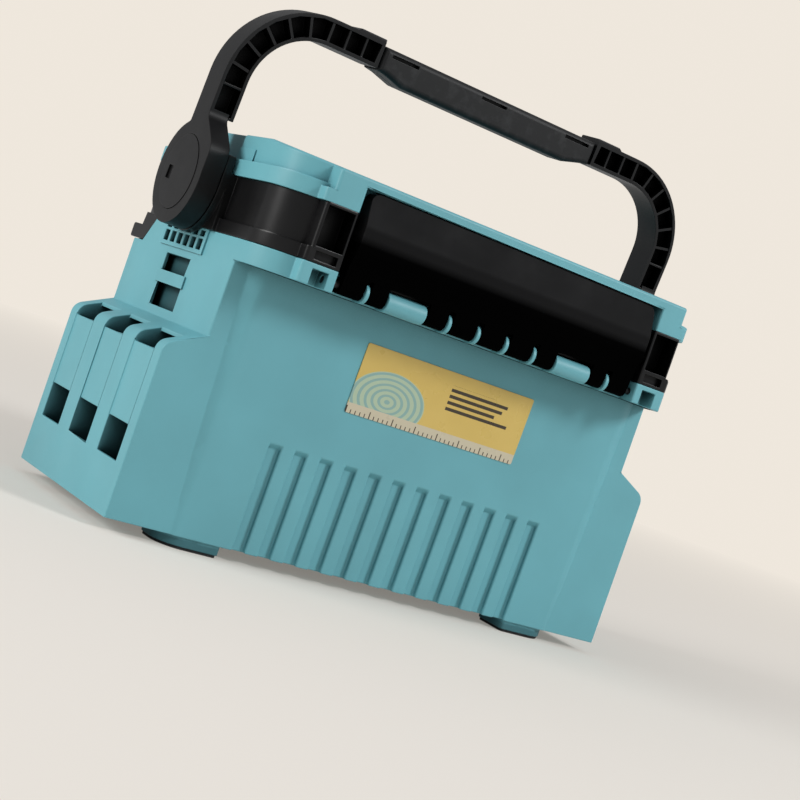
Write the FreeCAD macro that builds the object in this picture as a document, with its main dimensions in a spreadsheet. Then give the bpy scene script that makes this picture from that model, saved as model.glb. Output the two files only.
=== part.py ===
import FreeCAD, Part
import math
import os
import Sketcher

# Fishing seat box. X runs along the box, Y to the rear and Z up, in millimetres.
# The origin is on the floor, under the middle of the box from latch to hinge.
# The pieces are drawn about the middle of the tub, which lies a setback behind it.

DRIVING_SIZES = (
    ("tub_setback", 12.0, "middle of the box to the middle of the tub"),
    ("foot_height", 9.0, "floor to the underside of the tub"),
    ("pad_thickness", 2.0, "rubber sole of a foot"),
    ("foot_place", 50.0, "end of the tub to the inner end of a foot"),
    ("foot_length", 48.0, "foot along the box"),
    ("foot_width", 34.0, "foot across the box"),
    ("foot_corner", 20.0, "outer corner of a foot"),
    ("tub_half_length", 178.0, "tub at its underside"),
    ("tub_half_depth", 93.0, "tub at its underside"),
    ("tub_height", 193.0, "underside of the tub to the flange"),
    ("tub_slope", 0.0262, "how far the walls lean out for each millimetre up"),
    ("tub_corner", 14.0, "corner of the tub"),
    ("wall", 3.0, "moulded wall"),
    ("flange_height", 15.0, "flange skirt"),
    ("flange_overhang", 13.0, "flange and lid beyond the tub's end"),
    ("front_round", 6.0, "front corners of the lid before the latch's wall"),
    ("block_reach", 15.0, "latch blocks before the latch's wall"),
    ("front_overhang", 31.0, "wall behind the latch before the tub's front"),
    ("block_place", 54.0, "end of the lid to the inner side of a latch block"),
    ("block_width", 29.0, "latch block along the box"),
    ("block_step", 6.0, "how far the cover's blocks step in above the rim"),
    ("rear_overhang", 10.0, "flange behind the tub's rear"),
    ("flange_rear_corner", 30.0, "rear corner of the flange"),
    ("frame_reach", 7.0, "frame behind the flange"),
    ("frame_rear_corner", 42.0, "rear corner of the frame's base"),
    ("cover_reach", 9.0, "cover behind the frame"),
    ("lid_corner", 34.0, "corner of the lid"),
    ("rear_band", 20.0, "height of the stiff band under the flange's rear"),
    ("pocket_width", 29.0, "side pocket beyond the flange"),
    ("pocket_inset", 1.5, "side pocket and end wall behind the tub's front"),
    ("pocket_drop", 6.5, "top of a side pocket below the lower belt window"),
    ("pocket_fall", 13.0, "fall of the pocket's top to its outer edge"),
    ("pocket_round", 10.0, "rounded upper edge of a side pocket"),
    ("slot_width", 37.3, "tool slot"),
    ("slot_pitch", 60.0, "spacing of the tool slots"),
    ("slot_mouth", 17.0, "mouth of a tool slot from the outer face inwards"),
    ("sill_drop", 20.0, "lower edge of a slot's mouth below the pocket's top"),
    ("window_low", 37.4, "lower edge of a slot's window"),
    ("window_high", 63.5, "upper edge of a slot's window"),
    ("panel_relief", 0.8, "how far the panel under a mouth is set back"),
    ("belt_half_width", 22.0, "belt window"),
    ("belt_bar_height", 9.0, "belt bar"),
    ("belt_top_height", 13.0, "upper belt window"),
    ("belt_foot_height", 17.5, "lower belt window"),
    ("belt_drop", 9.0, "upper belt window below the flange"),
    ("belt_gap", 5.0, "room for the belt behind its bar"),
    ("belt_plate", 2.5, "end wall in front of the belt gap"),
    ("grid_half_width", 39.0, "raised frame round the vent grid"),
    ("grid_drop", 3.5, "lower edge of the raised frame below the flange"),
    ("grid_proud", 1.4, "how far the frame stands out"),
    ("grid_pitch", 12.0, "spacing of the vents"),
    ("vent_width", 8.4, "vent"),
    ("groove_count", 12.0, "grooves in the front and in the rear"),
    ("groove_pitch", 21.5, "spacing of the grooves"),
    ("groove_width", 10.0, "groove"),
    ("groove_depth", 4.0, "groove"),
    ("groove_height", 81.0, "groove"),
    ("groove_centre", 3.0, "middle of the row of grooves"),
    ("ledge_drop", 42.0, "tray ledge below the flange"),
    ("tray_height", 40.0, "inner tray"),
    ("tray_wall", 2.0, "inner tray"),
    ("tray_clearance", 2.0, "inner tray to the tub"),
    ("divider", 1.6, "tray divider"),
    ("divider_pitch", 116.0, "spacing of the tray dividers"),
    ("label_length", 154.0, "label plate"),
    ("label_width", 52.5, "label plate"),
    ("label_thickness", 0.8, "label plate"),
    ("label_centre_x", 4.0, "label plate"),
    ("label_drop", 49.0, "middle of the label plate below the flange"),
    ("rod_radius", 2.5, "latch rod and hinge rod"),
    ("running", 0.05, "radial clearance round a rod or pin"),
    ("latch_stand", 7.0, "latch rod before the latch's wall"),
    ("latch_axis_height", 7.0, "latch rod above the flange's underside"),
    ("hook_radius", 7.2, "hook round the latch rod"),
    ("barrel_radius", 6.0, "latch barrel"),
    ("hook_side_gap", 1.0, "latch barrel to a hook"),
    ("latch_side_gap", 6.0, "front latch to a latch block"),
    ("latch_top_reach", 6.0, "upper edge of the latch before its rod"),
    ("latch_belly_reach", 12.0, "fullest part of the latch before its rod"),
    ("latch_skin", 3.0, "latch plate"),
    ("latch_lip_gap", 0.9, "latch to the lip above it"),
    ("hinge_stand", 6.5, "hinge rod behind the flange"),
    ("hinge_height", 0.0, "hinge rod above the flange's underside"),
    ("knuckle_radius", 6.0, "hinge knuckle"),
    ("knuckle_width", 40.0, "hinge knuckle"),
    ("knuckle_pitch", 42.0, "spacing of the hinge knuckles"),
    ("seat_gap", 0.3, "lid frame to the flange"),
    ("frame_height", 42.0, "flange to the cover"),
    ("frame_inset", 3.0, "frame behind the flange and the cover"),
    ("belt_line", 10.0, "base of the frame, which is flush with the flange"),
    ("frame_ledge", 4.0, "ledges at the frame's foot and head"),
    ("ear_drop", 20.0, "rear ears of the frame below the flange's top"),
    ("ear_place", 28.0, "rear of the flange to the foot of an ear's slope"),
    ("ear_slope", 16.0, "run of an ear's slope"),
    ("ear_lug", 11.0, "height of the lug at the rear of an ear"),
    ("seal_corner", 18.0, "corner of the lid seal"),
    ("seal_width", 3.0, "lid seal"),
    ("seal_height", 2.5, "lid seal"),
    ("rim_height", 12.0, "rim of the cover"),
    ("rim_step", 5.0, "how far the cover's wall steps in above the rim"),
    ("cover_edge", 24.0, "cover at its front edge"),
    ("cover_height", 31.0, "cover at its middle"),
    ("lip_thickness", 6.0, "lip over the latch"),
    ("seat_inset", 41.0, "end of the lid to the seat panel"),
    ("seat_front", 62.0, "front edge of the seat panel"),
    ("seat_rear", 46.0, "rear edge of the seat panel"),
    ("seat_sink", 1.2, "sunk seat panel"),
    ("boss_half_width", 39.0, "handle boss on the frame"),
    ("boss_stand", 8.5, "face of a handle boss beyond the lid's end"),
    ("boss_gap", 0.9, "handle boss to the end wall's vent frame"),
    ("hub_depth", 8.0, "handle axis in front of the tub's middle"),
    ("hub_height", 48.0, "handle axis above the flange's underside"),
    ("hub_radius", 38.5, "hub disc"),
    ("hub_gap", 0.5, "hub disc to its boss"),
    ("pin_radius", 6.0, "handle pin"),
    ("pin_head_radius", 10.0, "head of the handle pin"),
    ("cap_radius", 28.0, "hub cap"),
    ("cap_thickness", 3.0, "hub cap"),
    ("hub_thickness", 15.5, "hub disc"),
    ("handle_rise", 142.5, "handle axis to the top of the bow"),
    ("bow_thickness", 20.0, "bow in its own plane"),
    ("bow_half_width", 13.0, "bow across its plane"),
    ("bow_radius", 67.0, "outer bend of the bow"),
    ("bow_skin", 2.8, "flanges and web of the bow"),
    ("bow_rib", 2.0, "cross rib of the bow"),
    ("bow_core", 9.0, "half width of the bow inside the grip"),
    ("tab_length", 26.0, "raised tab on the bow beside the grip"),
    ("tab_height", 2.0, "raised tab on the bow beside the grip"),
    ("handle_lean", 5.0, "forward lean of the handle at rest, in degrees"),
    ("grip_half_length", 103.0, "grip sleeve"),
    ("grip_half_width", 14.0, "grip sleeve"),
    ("grip_drop", 2.5, "top of the grip below the top of the bow"),
    ("grip_height", 24.0, "grip sleeve"),
    ("grip_flat", 79.0, "half of the grip's flat underside"),
    ("grip_wall", 2.5, "grip sleeve"),
)

LATCH_HOOKS = ((13.0, 3.0), (39.0, 3.0), (76.0, 33.0), (110.0, 3.0))
TAU = 2 * math.pi


class Size:
    """A number together with the sheet expression that it comes from."""

    def __init__(self, value, text=None):
        self.value = float(value)
        self.text = text if text else "(%r)" % float(value)

    def joined(self, sign, other, value):
        return Size(value, "(%s %s %s)" % (self.text, sign, other.text))

    def __add__(self, other):
        other = size(other)
        return self.joined("+", other, self.value + other.value)

    def __sub__(self, other):
        other = size(other)
        return self.joined("-", other, self.value - other.value)

    def __mul__(self, other):
        other = size(other)
        return self.joined("*", other, self.value * other.value)

    def __truediv__(self, other):
        other = size(other)
        return self.joined("/", other, self.value / other.value)

    def __radd__(self, other):
        return size(other) + self

    def __rsub__(self, other):
        return size(other) - self

    def __rmul__(self, other):
        return size(other) * self

    def __neg__(self):
        return size(0) - self


def size(value):
    return value if isinstance(value, Size) else Size(value)


class Sizes:
    """The driving sizes, each of them also a named cell of the sheet."""


doc = FreeCAD.newDocument("fishing_seat_box")
sheet = doc.addObject("Spreadsheet::Sheet", "Sizes")
s = Sizes()
for row, (alias, number, note) in enumerate(DRIVING_SIZES, start=1):
    sheet.set("A%d" % row, note)
    sheet.set("B%d" % row, repr(number))
    sheet.setAlias("B%d" % row, alias)
    setattr(s, alias, Size(number, "Sizes.%s" % alias))
doc.recompute()

# Sizes that follow from others, so that the pieces keep their fits when one is changed.
s.lid_half_length = s.tub_half_length + s.flange_overhang
s.block_inner = s.lid_half_length - s.block_place
s.block_outer = s.block_inner + s.block_width
s.latch_half_length = s.block_inner - s.latch_side_gap
s.pocket_half_length = s.lid_half_length + s.pocket_width
s.boss_face = s.lid_half_length + s.boss_stand
s.handle_half_length = s.boss_face + s.hub_gap + s.hub_thickness
s.seat_half_length = s.lid_half_length - s.seat_inset
s.foot_inner = s.tub_half_length - s.foot_place
s.recess_depth = s.tub_half_depth + s.front_overhang
s.front_depth = s.recess_depth + s.front_round
s.block_depth = s.recess_depth + s.block_reach
s.latch_axis_depth = s.recess_depth + s.latch_stand
s.latch_top_depth = s.latch_axis_depth + s.latch_top_reach
s.latch_belly_depth = s.latch_axis_depth + s.latch_belly_reach
s.flange_rear = s.tub_half_depth + s.rear_overhang
s.frame_rear = s.flange_rear + s.frame_reach
s.cover_rear = s.frame_rear + s.cover_reach
s.hinge_depth = s.flange_rear + s.hinge_stand
s.ear_start = s.flange_rear - s.ear_place
s.pocket_half_depth = s.tub_half_depth - s.pocket_inset
s.belt_high = s.tub_height - s.belt_drop
s.belt_bar_high = s.belt_high - s.belt_top_height
s.belt_bar_low = s.belt_bar_high - s.belt_bar_height
s.belt_low = s.belt_bar_low - s.belt_foot_height
s.pocket_height = s.belt_low - s.pocket_drop
s.slot_sill = s.pocket_height - s.sill_drop
s.grid_low = s.tub_height - s.grid_drop
s.ledge_height = s.tub_height - s.ledge_drop
s.label_centre_z = s.tub_height - s.label_drop

SIDES = (-1, 1)
MARGIN = Size(1.0)
finished = []


# Levels and axes that several pieces share.
tub_bottom = s.foot_height
flange_under = tub_bottom + s.tub_height
flange_top = flange_under + s.flange_height
frame_bottom = flange_top + s.seat_gap
frame_top = flange_top + s.frame_height
cover_top = frame_top + s.cover_height
latch_y = -s.latch_axis_depth
latch_z = flange_under + s.latch_axis_height
hinge_y = s.hinge_depth
hinge_z = flange_under + s.hinge_height
hub_y = -s.hub_depth
hub_z = flange_under + s.hub_height
rod_bore = s.rod_radius + s.running


def new_body(name):
    body = doc.addObject("PartDesign::Body", name)
    body.Label = name
    finished.append(body)
    return body


def origin_feature(body, role):
    return [item for item in body.Origin.OriginFeatures if item.Role == role][0]


def rectangle(x0, x1, y0, y1, radii=(0, 0, 0, 0)):
    """Corners in order: low x and y, high x low y, high x and y, low x high y."""
    return [(x0, y0, radii[0]), (x1, y0, radii[1]), (x1, y1, radii[2]), (x0, y1, radii[3])]


def mirrored(loop):
    return [(-size(x), y, r) for x, y, r in loop][::-1]


def corner_points(before, corner, after, radius):
    """Where a round of this radius starts, ends and has its centre."""
    into = FreeCAD.Vector(before - corner).normalize()
    out = FreeCAD.Vector(after - corner).normalize()
    half = into.getAngle(out) / 2
    reach = radius / math.tan(half)
    middle = (into + out).normalize() * (radius / math.sin(half))
    return corner + into * reach, corner + out * reach, corner + middle


def constrain_point(sketch, geometry, point, x, y):
    for kind, axis, place in (("DistanceX", -2, size(x)), ("DistanceY", -1, size(y))):
        if place.value == 0 and "Sizes" not in place.text:
            sketch.addConstraint(Sketcher.Constraint("PointOnObject", geometry, point, axis))
            continue
        index = sketch.addConstraint(
            Sketcher.Constraint(kind, -1, 1, geometry, point, place.value)
        )
        sketch.setExpression("Constraints[%d]" % index, place.text)


def draw_loop(sketch, loop):
    """A closed outline of straight sides, with a round at each corner that has a radius."""
    corners = [FreeCAD.Vector(size(x).value, size(y).value, 0) for x, y, r in loop]
    count = len(loop)
    rounds = []
    for index, (x, y, radius) in enumerate(loop):
        radius = size(radius)
        here = corners[index]
        if radius.value == 0:
            rounds.append((here, here, None))
            continue
        before, after = corners[index - 1], corners[(index + 1) % count]
        rounds.append(corner_points(before, here, after, radius.value))
    lines = []
    for index in range(count):
        start, end = rounds[index][1], rounds[(index + 1) % count][0]
        lines.append(sketch.addGeometry(Part.LineSegment(start, end), False))
    for index, (x, y, radius) in enumerate(loop):
        before, after = lines[index - 1], lines[index]
        start, end, centre = rounds[index]
        if centre is None:
            sketch.addConstraint(Sketcher.Constraint("Coincident", before, 2, after, 1))
            constrain_point(sketch, after, 1, x, y)
            continue
        turn = (start - centre).cross(end - centre).z
        first, last = (start, end) if turn > 0 else (end, start)
        angles = [math.atan2(p.y - centre.y, p.x - centre.x) % TAU for p in (first, last)]
        circle = Part.Circle(centre, FreeCAD.Vector(0, 0, 1), size(radius).value)
        arc = sketch.addGeometry(Part.ArcOfCircle(circle, *angles), False)
        ends = (1, 2) if turn > 0 else (2, 1)
        sketch.addConstraint(Sketcher.Constraint("Tangent", before, 2, arc, ends[0]))
        sketch.addConstraint(Sketcher.Constraint("Tangent", arc, ends[1], after, 1))
        index_radius = sketch.addConstraint(
            Sketcher.Constraint("Radius", arc, size(radius).value)
        )
        sketch.setExpression("Constraints[%d]" % index_radius, size(radius).text)
        corner = sketch.addGeometry(Part.Point(corners[index]), True)
        sketch.addConstraint(Sketcher.Constraint("PointOnObject", corner, 1, before))
        sketch.addConstraint(Sketcher.Constraint("PointOnObject", corner, 1, after))
        constrain_point(sketch, corner, 1, x, y)


def draw_circle(sketch, circle):
    x, y, radius = circle
    shape = Part.Circle(
        FreeCAD.Vector(size(x).value, size(y).value, 0), FreeCAD.Vector(0, 0, 1), size(radius).value
    )
    geometry = sketch.addGeometry(shape, False)
    index = sketch.addConstraint(Sketcher.Constraint("Radius", geometry, size(radius).value))
    sketch.setExpression("Constraints[%d]" % index, size(radius).text)
    constrain_point(sketch, geometry, 3, x, y)


def new_sketch(body, name, plane, level, loops=(), circles=(), shift=(0, 0)):
    sketch = body.newObject("Sketcher::SketchObject", name + "_sketch")
    sketch.AttachmentSupport = (origin_feature(body, plane + "_Plane"), [""])
    sketch.MapMode = "FlatFace"
    places = [size(shift[0]), size(shift[1]), size(level)]
    sketch.AttachmentOffset = FreeCAD.Placement(
        FreeCAD.Vector(*[place.value for place in places]), FreeCAD.Rotation()
    )
    for axis, place in zip("xyz", places):
        sketch.setExpression("AttachmentOffset.Base.%s" % axis, place.text)
    for loop in loops:
        draw_loop(sketch, loop)
    for circle in circles:
        draw_circle(sketch, circle)
    sketch.Visibility = False
    return sketch


def grow(body, kind, name, plane, low, high, loops=(), circles=(), slope=None, shift=(0, 0)):
    """A pad or pocket between two levels of a plane, with a lean on its sides if given.

    Levels are X on the YZ plane, Z on the XY plane, and minus Y on the XZ plane.
    """
    sketch = new_sketch(body, name, plane, low, loops, circles, shift)
    feature = body.newObject("PartDesign::" + kind, name)
    feature.Profile = sketch
    length = size(high) - size(low)
    feature.Length = length.value
    feature.setExpression("Length", length.text)
    feature.Refine = False
    if kind == "Pocket":
        feature.Reversed = True
    if slope is not None:
        feature.setExpression("TaperAngle", "atan(%s)" % slope.text)
    doc.recompute()
    return feature


def add(body, name, plane, low, high, loops=(), circles=(), slope=None, shift=(0, 0)):
    return grow(body, "Pad", name, plane, low, high, loops, circles, slope, shift)


def cut(body, name, plane, low, high, loops=(), circles=(), slope=None, shift=(0, 0)):
    return grow(body, "Pocket", name, plane, low, high, loops, circles, slope, shift)


def repeat(body, name, originals, axis, count, pitch):
    """A straight row of features: the first is the original, the rest follow at this pitch."""
    pattern = body.newObject("PartDesign::LinearPattern", name)
    pattern.Originals = originals
    pattern.Direction = (origin_feature(body, axis + "_Axis"), [""])
    pattern.Occurrences = int(count)
    length = size(pitch) * (int(count) - 1)
    pattern.Length = length.value
    pattern.setExpression("Length", length.text)
    body.Tip = pattern
    doc.recompute()
    return pattern


def mirror(body, name, originals, plane):
    mirrored_copy = body.newObject("PartDesign::Mirrored", name)
    mirrored_copy.Originals = originals
    mirrored_copy.MirrorPlane = (origin_feature(body, plane + "_Plane"), [""])
    mirrored_copy.Refine = False
    body.Tip = mirrored_copy
    doc.recompute()
    return mirrored_copy


def fan(body, name, originals, axis_sketch, count, angle):
    pattern = body.newObject("PartDesign::PolarPattern", name)
    pattern.Originals = originals
    pattern.Axis = (axis_sketch, ["N_Axis"])
    pattern.Occurrences = count
    pattern.Angle = angle
    body.Tip = pattern
    doc.recompute()
    return pattern


def round_edges(body, name, radius, chosen):
    """A fillet on the edges of the body's last feature for which chosen(edge) holds."""
    base = body.Tip
    names = [
        "Edge%d" % number
        for number, edge in enumerate(base.Shape.Edges, start=1)
        if chosen(edge)
    ]
    fillet = body.newObject("PartDesign::Fillet", name)
    fillet.Base = (base, names)
    fillet.Radius = size(radius).value
    fillet.setExpression("Radius", size(radius).text)
    doc.recompute()
    return fillet


def runs_along(edge, axis, tolerance=1e-4):
    """True for a straight edge that is parallel to X, Y or Z."""
    if edge.Curve.TypeId != "Part::GeomLine":
        return False
    start, end = edge.Vertexes[0].Point, edge.Vertexes[-1].Point
    others = [name for name in "xyz" if name != axis]
    return all(abs(getattr(start, n) - getattr(end, n)) < tolerance for n in others)


def near(value, target, tolerance=0.02):
    return abs(value - size(target).value) < tolerance


def both_sides(loop):
    return [loop, mirrored(loop)]


def lid_outline(half_length, front, rear, front_corner, rear_corner):
    return rectangle(
        -half_length, half_length, -front, rear,
        (front_corner, front_corner, rear_corner, rear_corner),
    )


def front_blocks(outer, depth):
    loop = rectangle(s.block_inner, outer, -depth, -s.recess_depth, (1.5, 2.5, 0, 0))
    return both_sides(loop)


def latch_recess():
    reach = s.block_depth + MARGIN
    return [rectangle(-s.block_inner, s.block_inner, -reach, -s.recess_depth)]


def wall_y(height):
    """Distance from the tub's middle to its leaning front or rear wall at a height."""
    return s.tub_half_depth + s.tub_slope * (height - tub_bottom)


# The tub is one moulding. The flange skirt comes first, so that its hollow underside
# doesn't cut the walls.
tub = new_body("tub")
skirt_inner = s.lid_half_length - s.wall
flange_inner_top = flange_top - s.wall
add(tub, "flange", "XY", flange_under, flange_top, [
    lid_outline(s.lid_half_length, s.front_depth, s.flange_rear, s.lid_corner,
                s.flange_rear_corner)])
add(tub, "flange_blocks", "XY", flange_under, flange_top,
    front_blocks(s.block_outer, s.block_depth))
cut(tub, "latch_recess", "XY", flange_under, flange_top, latch_recess())
inner_front_corner = s.lid_corner - s.wall * 3
cut(tub, "flange_hollow", "XY", flange_under, flange_inner_top, [
    lid_outline(skirt_inner, s.recess_depth - s.wall, s.flange_rear - s.wall,
                inner_front_corner, s.flange_rear_corner - s.wall)])
block_wall = Size(7.0)
block_wall_outer = Size(9.0)
cut(tub, "block_windows", "XY", flange_under, flange_inner_top - 0.5, both_sides(
    rectangle(s.block_inner + block_wall, s.block_outer - block_wall_outer,
              -(s.block_depth + MARGIN), -s.recess_depth)))

rib_thickness = Size(2.5)
rib_places = (20, 60, 100, 140)
rib_loops = []
for place in rib_places:
    rib_loops += both_sides(rectangle(
        size(place) - rib_thickness / 2, size(place) + rib_thickness / 2,
        -(s.recess_depth - MARGIN), -s.tub_half_depth))
add(tub, "flange_ribs", "XY", flange_under + 2, flange_top - MARGIN, rib_loops)
stiffener_half = s.lid_half_length - s.flange_rear_corner - MARGIN
add(tub, "rear_stiffener", "XY", flange_under - s.rear_band, flange_top, [
    rectangle(-stiffener_half, stiffener_half, s.tub_half_depth - s.wall, s.flange_rear,
              (0, 0, 3, 3))])

corner = s.tub_corner
add(tub, "shell", "XY", tub_bottom, flange_top, [
    rectangle(-s.tub_half_length, s.tub_half_length, -s.tub_half_depth, s.tub_half_depth,
              (corner, corner, corner, corner))], slope=s.tub_slope)
pocket_top = tub_bottom + s.pocket_height
pocket_root = s.lid_half_length - s.wall
add(tub, "end_walls", "XY", pocket_top - 12, flange_top, [
    rectangle(-s.lid_half_length, s.lid_half_length, -s.pocket_half_depth,
              s.pocket_half_depth, (1.5, 1.5, 1.5, 1.5))])
pocket_rate = s.pocket_fall / (s.pocket_half_length - s.lid_half_length)


def pocket_roof(x):
    """Height of the sloping top of a side pocket."""
    return pocket_top - pocket_rate * (size(x) - s.lid_half_length)


pocket_start = s.tub_half_length - s.tub_corner - s.wall
side_pocket = [
    (pocket_start, tub_bottom, 0),
    (s.pocket_half_length, tub_bottom, 0),
    (s.pocket_half_length, pocket_roof(s.pocket_half_length), s.pocket_round),
    (s.lid_half_length - 2, pocket_roof(s.lid_half_length - 2), 0),
    (pocket_start, pocket_roof(s.lid_half_length - 2), 0),
]
add(tub, "side_pockets", "XZ", -s.pocket_half_depth, s.pocket_half_depth,
    both_sides(side_pocket))

foot_outer = s.foot_inner + s.foot_length
foot_front = s.tub_half_depth - 2


def foot_loops(inset):
    """The four feet, each with its large round at the outer corner of the box."""
    loops = []
    inner, outer = s.foot_inner + inset, foot_outer - inset
    near_side, far_side = foot_front - s.foot_width + inset, foot_front - inset
    for side in SIDES:
        loop = rectangle(inner, outer, near_side, far_side, (3, 3, s.foot_corner - inset, 3))
        if side < 0:
            loop = [(x, -size(y), r) for x, y, r in loop][::-1]
        loops += both_sides(loop)
    return loops


inner_corner = s.tub_corner - s.wall
floor_top = tub_bottom + s.wall
cavity_half_length = s.tub_half_length - s.wall
cavity_half_depth = s.tub_half_depth - s.wall
cut(tub, "cavity", "XY", floor_top, flange_top + MARGIN, [
    rectangle(-cavity_half_length, cavity_half_length, -cavity_half_depth, cavity_half_depth,
              (inner_corner, inner_corner, inner_corner, inner_corner))], slope=s.tub_slope)

belt_outer = s.lid_half_length - s.belt_plate
belt_inner = belt_outer - s.belt_gap
belt_low = tub_bottom + s.belt_low
belt_high = tub_bottom + s.belt_high
cut(tub, "belt_gaps", "XY", belt_low - 4, flange_inner_top, both_sides(
    rectangle(belt_inner, belt_outer, -(s.pocket_half_depth - 5), s.pocket_half_depth - 5)))

ledge_top = tub_bottom + s.ledge_height
ledge_reach = Size(8.0)
ledge_end = s.tub_half_length + s.tub_slope * s.ledge_height - s.wall / 2
add(tub, "tray_ledges", "XY", ledge_top - 4, ledge_top, both_sides(
    rectangle(s.tub_half_length - ledge_reach, ledge_end, -60, 60)))

hook_back = -(s.recess_depth - MARGIN)
hook_loops = []
for place, width in LATCH_HOOKS:
    hook_loops += both_sides(rectangle(
        Size(place) - Size(width) / 2, Size(place) + Size(width) / 2,
        latch_y - s.hook_radius, hook_back))
hook_top = latch_z + s.hook_radius
hook_bottom = latch_z - s.hook_radius
add(tub, "latch_hooks", "XY", hook_bottom, hook_top, hook_loops)
round_edges(tub, "hook_rounds", s.hook_radius - 0.1, lambda edge: (
    runs_along(edge, "x") and near(edge.Vertexes[0].Y, latch_y - s.hook_radius)))
rod_reach = s.block_inner + block_wall
cut(tub, "latch_bore", "YZ", -rod_reach, rod_reach, circles=[(latch_y, latch_z, rod_bore)])

knuckle_top = hinge_z + s.knuckle_radius
knuckle_bottom = hinge_z - s.knuckle_radius
knuckle_back = hinge_y + s.knuckle_radius


def knuckles(numbers, front):
    return [rectangle(s.knuckle_pitch * number - s.knuckle_width / 2,
                      s.knuckle_pitch * number + s.knuckle_width / 2, front, knuckle_back)
            for number in numbers]


add(tub, "tub_knuckles", "XY", knuckle_bottom, knuckle_top,
    knuckles((-2, 0, 2), s.flange_rear - MARGIN))
round_edges(tub, "tub_knuckle_rounds", s.knuckle_radius - 0.1, lambda edge: (
    runs_along(edge, "x") and near(edge.Vertexes[0].Y, knuckle_back)))
hinge_reach = s.knuckle_pitch * 3.5 + 3
cut(tub, "hinge_bore", "YZ", -hinge_reach, hinge_reach, circles=[(hinge_y, hinge_z, rod_bore)])

ear_bottom = flange_top - s.ear_drop
ear_inner = belt_inner + s.wall
ear_clear = Size(0.6)


ear_notch_loop = [
    (s.ear_start - ear_clear, ear_bottom - ear_clear, 0),
    (s.flange_rear - 1 + ear_clear * 3, ear_bottom - ear_clear, 0),
    (s.flange_rear - 1 + ear_clear * 3, flange_top + MARGIN, 0),
    (s.ear_start - s.ear_slope - ear_clear, flange_top + MARGIN, 0),
]
add(tub, "feet", "XY", s.pad_thickness, tub_bottom + MARGIN, foot_loops(Size(0)))

shaft_inner = s.tub_half_length + s.tub_slope * s.pocket_height + 2
shaft_outer = s.pocket_half_length - s.wall
mouth_inner = s.pocket_half_length - s.slot_mouth
beyond = s.pocket_half_length + MARGIN
sill = tub_bottom + s.slot_sill
window_low = tub_bottom + s.window_low
window_high = tub_bottom + s.window_high
relief_face = s.pocket_half_length - s.panel_relief
tool_slot = [
    (shaft_inner, floor_top, 0),
    (shaft_outer, floor_top, 0),
    (shaft_outer, window_low, 0),
    (beyond, window_low, 0),
    (beyond, pocket_top + MARGIN, 0),
    (mouth_inner, pocket_top + MARGIN, 0),
    (mouth_inner, pocket_roof(mouth_inner) - s.wall, 0),
    (shaft_inner, pocket_roof(shaft_inner) - s.wall, 0),
]
slot_skin = rectangle(shaft_outer, relief_face, window_high, sill)
slot_low = s.slot_pitch - s.slot_width / 2
slot_cut = cut(tub, "tool_slot", "XZ", slot_low, slot_low + s.slot_width,
               both_sides(tool_slot) + both_sides(slot_skin))
repeat(tub, "tool_slots", [slot_cut], "Y", 3, s.slot_pitch)

core_wall = Size(2.5)
core_edge = s.slot_width / 2 + core_wall
core_loops = []
for side in SIDES:
    for low, high in ((core_edge, s.slot_pitch - core_edge),
                      (s.slot_pitch + core_edge, s.pocket_half_depth - s.wall)):
        ends = (low, high) if side > 0 else (-high, -low)
        core_loops += both_sides(rectangle(shaft_inner, shaft_outer, *ends))
cut(tub, "pocket_cores", "XY", tub_bottom - MARGIN, sill - 4, core_loops)

groove_top = tub_bottom + s.groove_height
groove_loops = []
backing_loops = []
for side in SIDES:
    def outwards(height, depth, side=side):
        return (wall_y(height) - depth) * side

    low = tub_bottom - MARGIN
    shoulder = groove_top - s.groove_depth
    groove_loops.append([
        (outwards(low, -MARGIN), low, 0),
        (outwards(low, s.groove_depth), low, 0),
        (outwards(shoulder, s.groove_depth), shoulder, 0),
        (outwards(groove_top, -MARGIN), groove_top + MARGIN, 0),
    ])
    back = s.groove_depth + s.wall
    backing_loops.append([
        (outwards(floor_top, MARGIN), floor_top - MARGIN, 0),
        (outwards(floor_top, back), floor_top - MARGIN, 0),
        (outwards(shoulder, back), shoulder, 0),
        (outwards(groove_top, MARGIN), groove_top + s.wall + s.groove_depth, 0),
    ])
groove_start = s.groove_centre - s.groove_pitch * (s.groove_count - 1) / 2
backing = add(tub, "groove_backing", "YZ",
              groove_start - s.groove_width / 2 - s.wall,
              groove_start + s.groove_width / 2 + s.wall, backing_loops)
repeat(tub, "groove_backings", [backing], "X", s.groove_count.value, s.groove_pitch)
groove = cut(tub, "groove", "YZ", groove_start - s.groove_width / 2,
             groove_start + s.groove_width / 2, groove_loops)
repeat(tub, "grooves", [groove], "X", s.groove_count.value, s.groove_pitch)

bar_low = tub_bottom + s.belt_bar_low
bar_high = tub_bottom + s.belt_bar_high
grid_low = tub_bottom + s.grid_low
end_face = s.lid_half_length
relief = add(tub, "end_relief", "YZ", end_face - MARGIN, end_face + s.grid_proud, [
    rectangle(-s.grid_half_width, s.grid_half_width, grid_low, flange_top),
    rectangle(-(s.belt_half_width + 4), s.belt_half_width + 4, bar_low, bar_high)])
end_openings = [
    rectangle(-s.belt_half_width, s.belt_half_width, belt_low, bar_low),
    rectangle(-s.belt_half_width, s.belt_half_width, bar_high, belt_high)]
for number in range(6):
    vent_left = s.grid_pitch * (number - 2.5) - s.vent_width / 2
    vent_right = vent_left + s.vent_width
    end_openings += [
        rectangle(vent_left, vent_right, grid_low + 3, grid_low + 11),
        rectangle(vent_left, vent_right, grid_low + 13, flange_top - 1.5)]
openings = cut(tub, "end_openings", "YZ", belt_outer - MARGIN, end_face + 3, end_openings)
ear_notch = cut(tub, "ear_notch", "YZ", ear_inner - ear_clear, s.lid_half_length + 3,
                [ear_notch_loop])
mirror(tub, "left_end", [relief, openings, ear_notch], "YZ")


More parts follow.
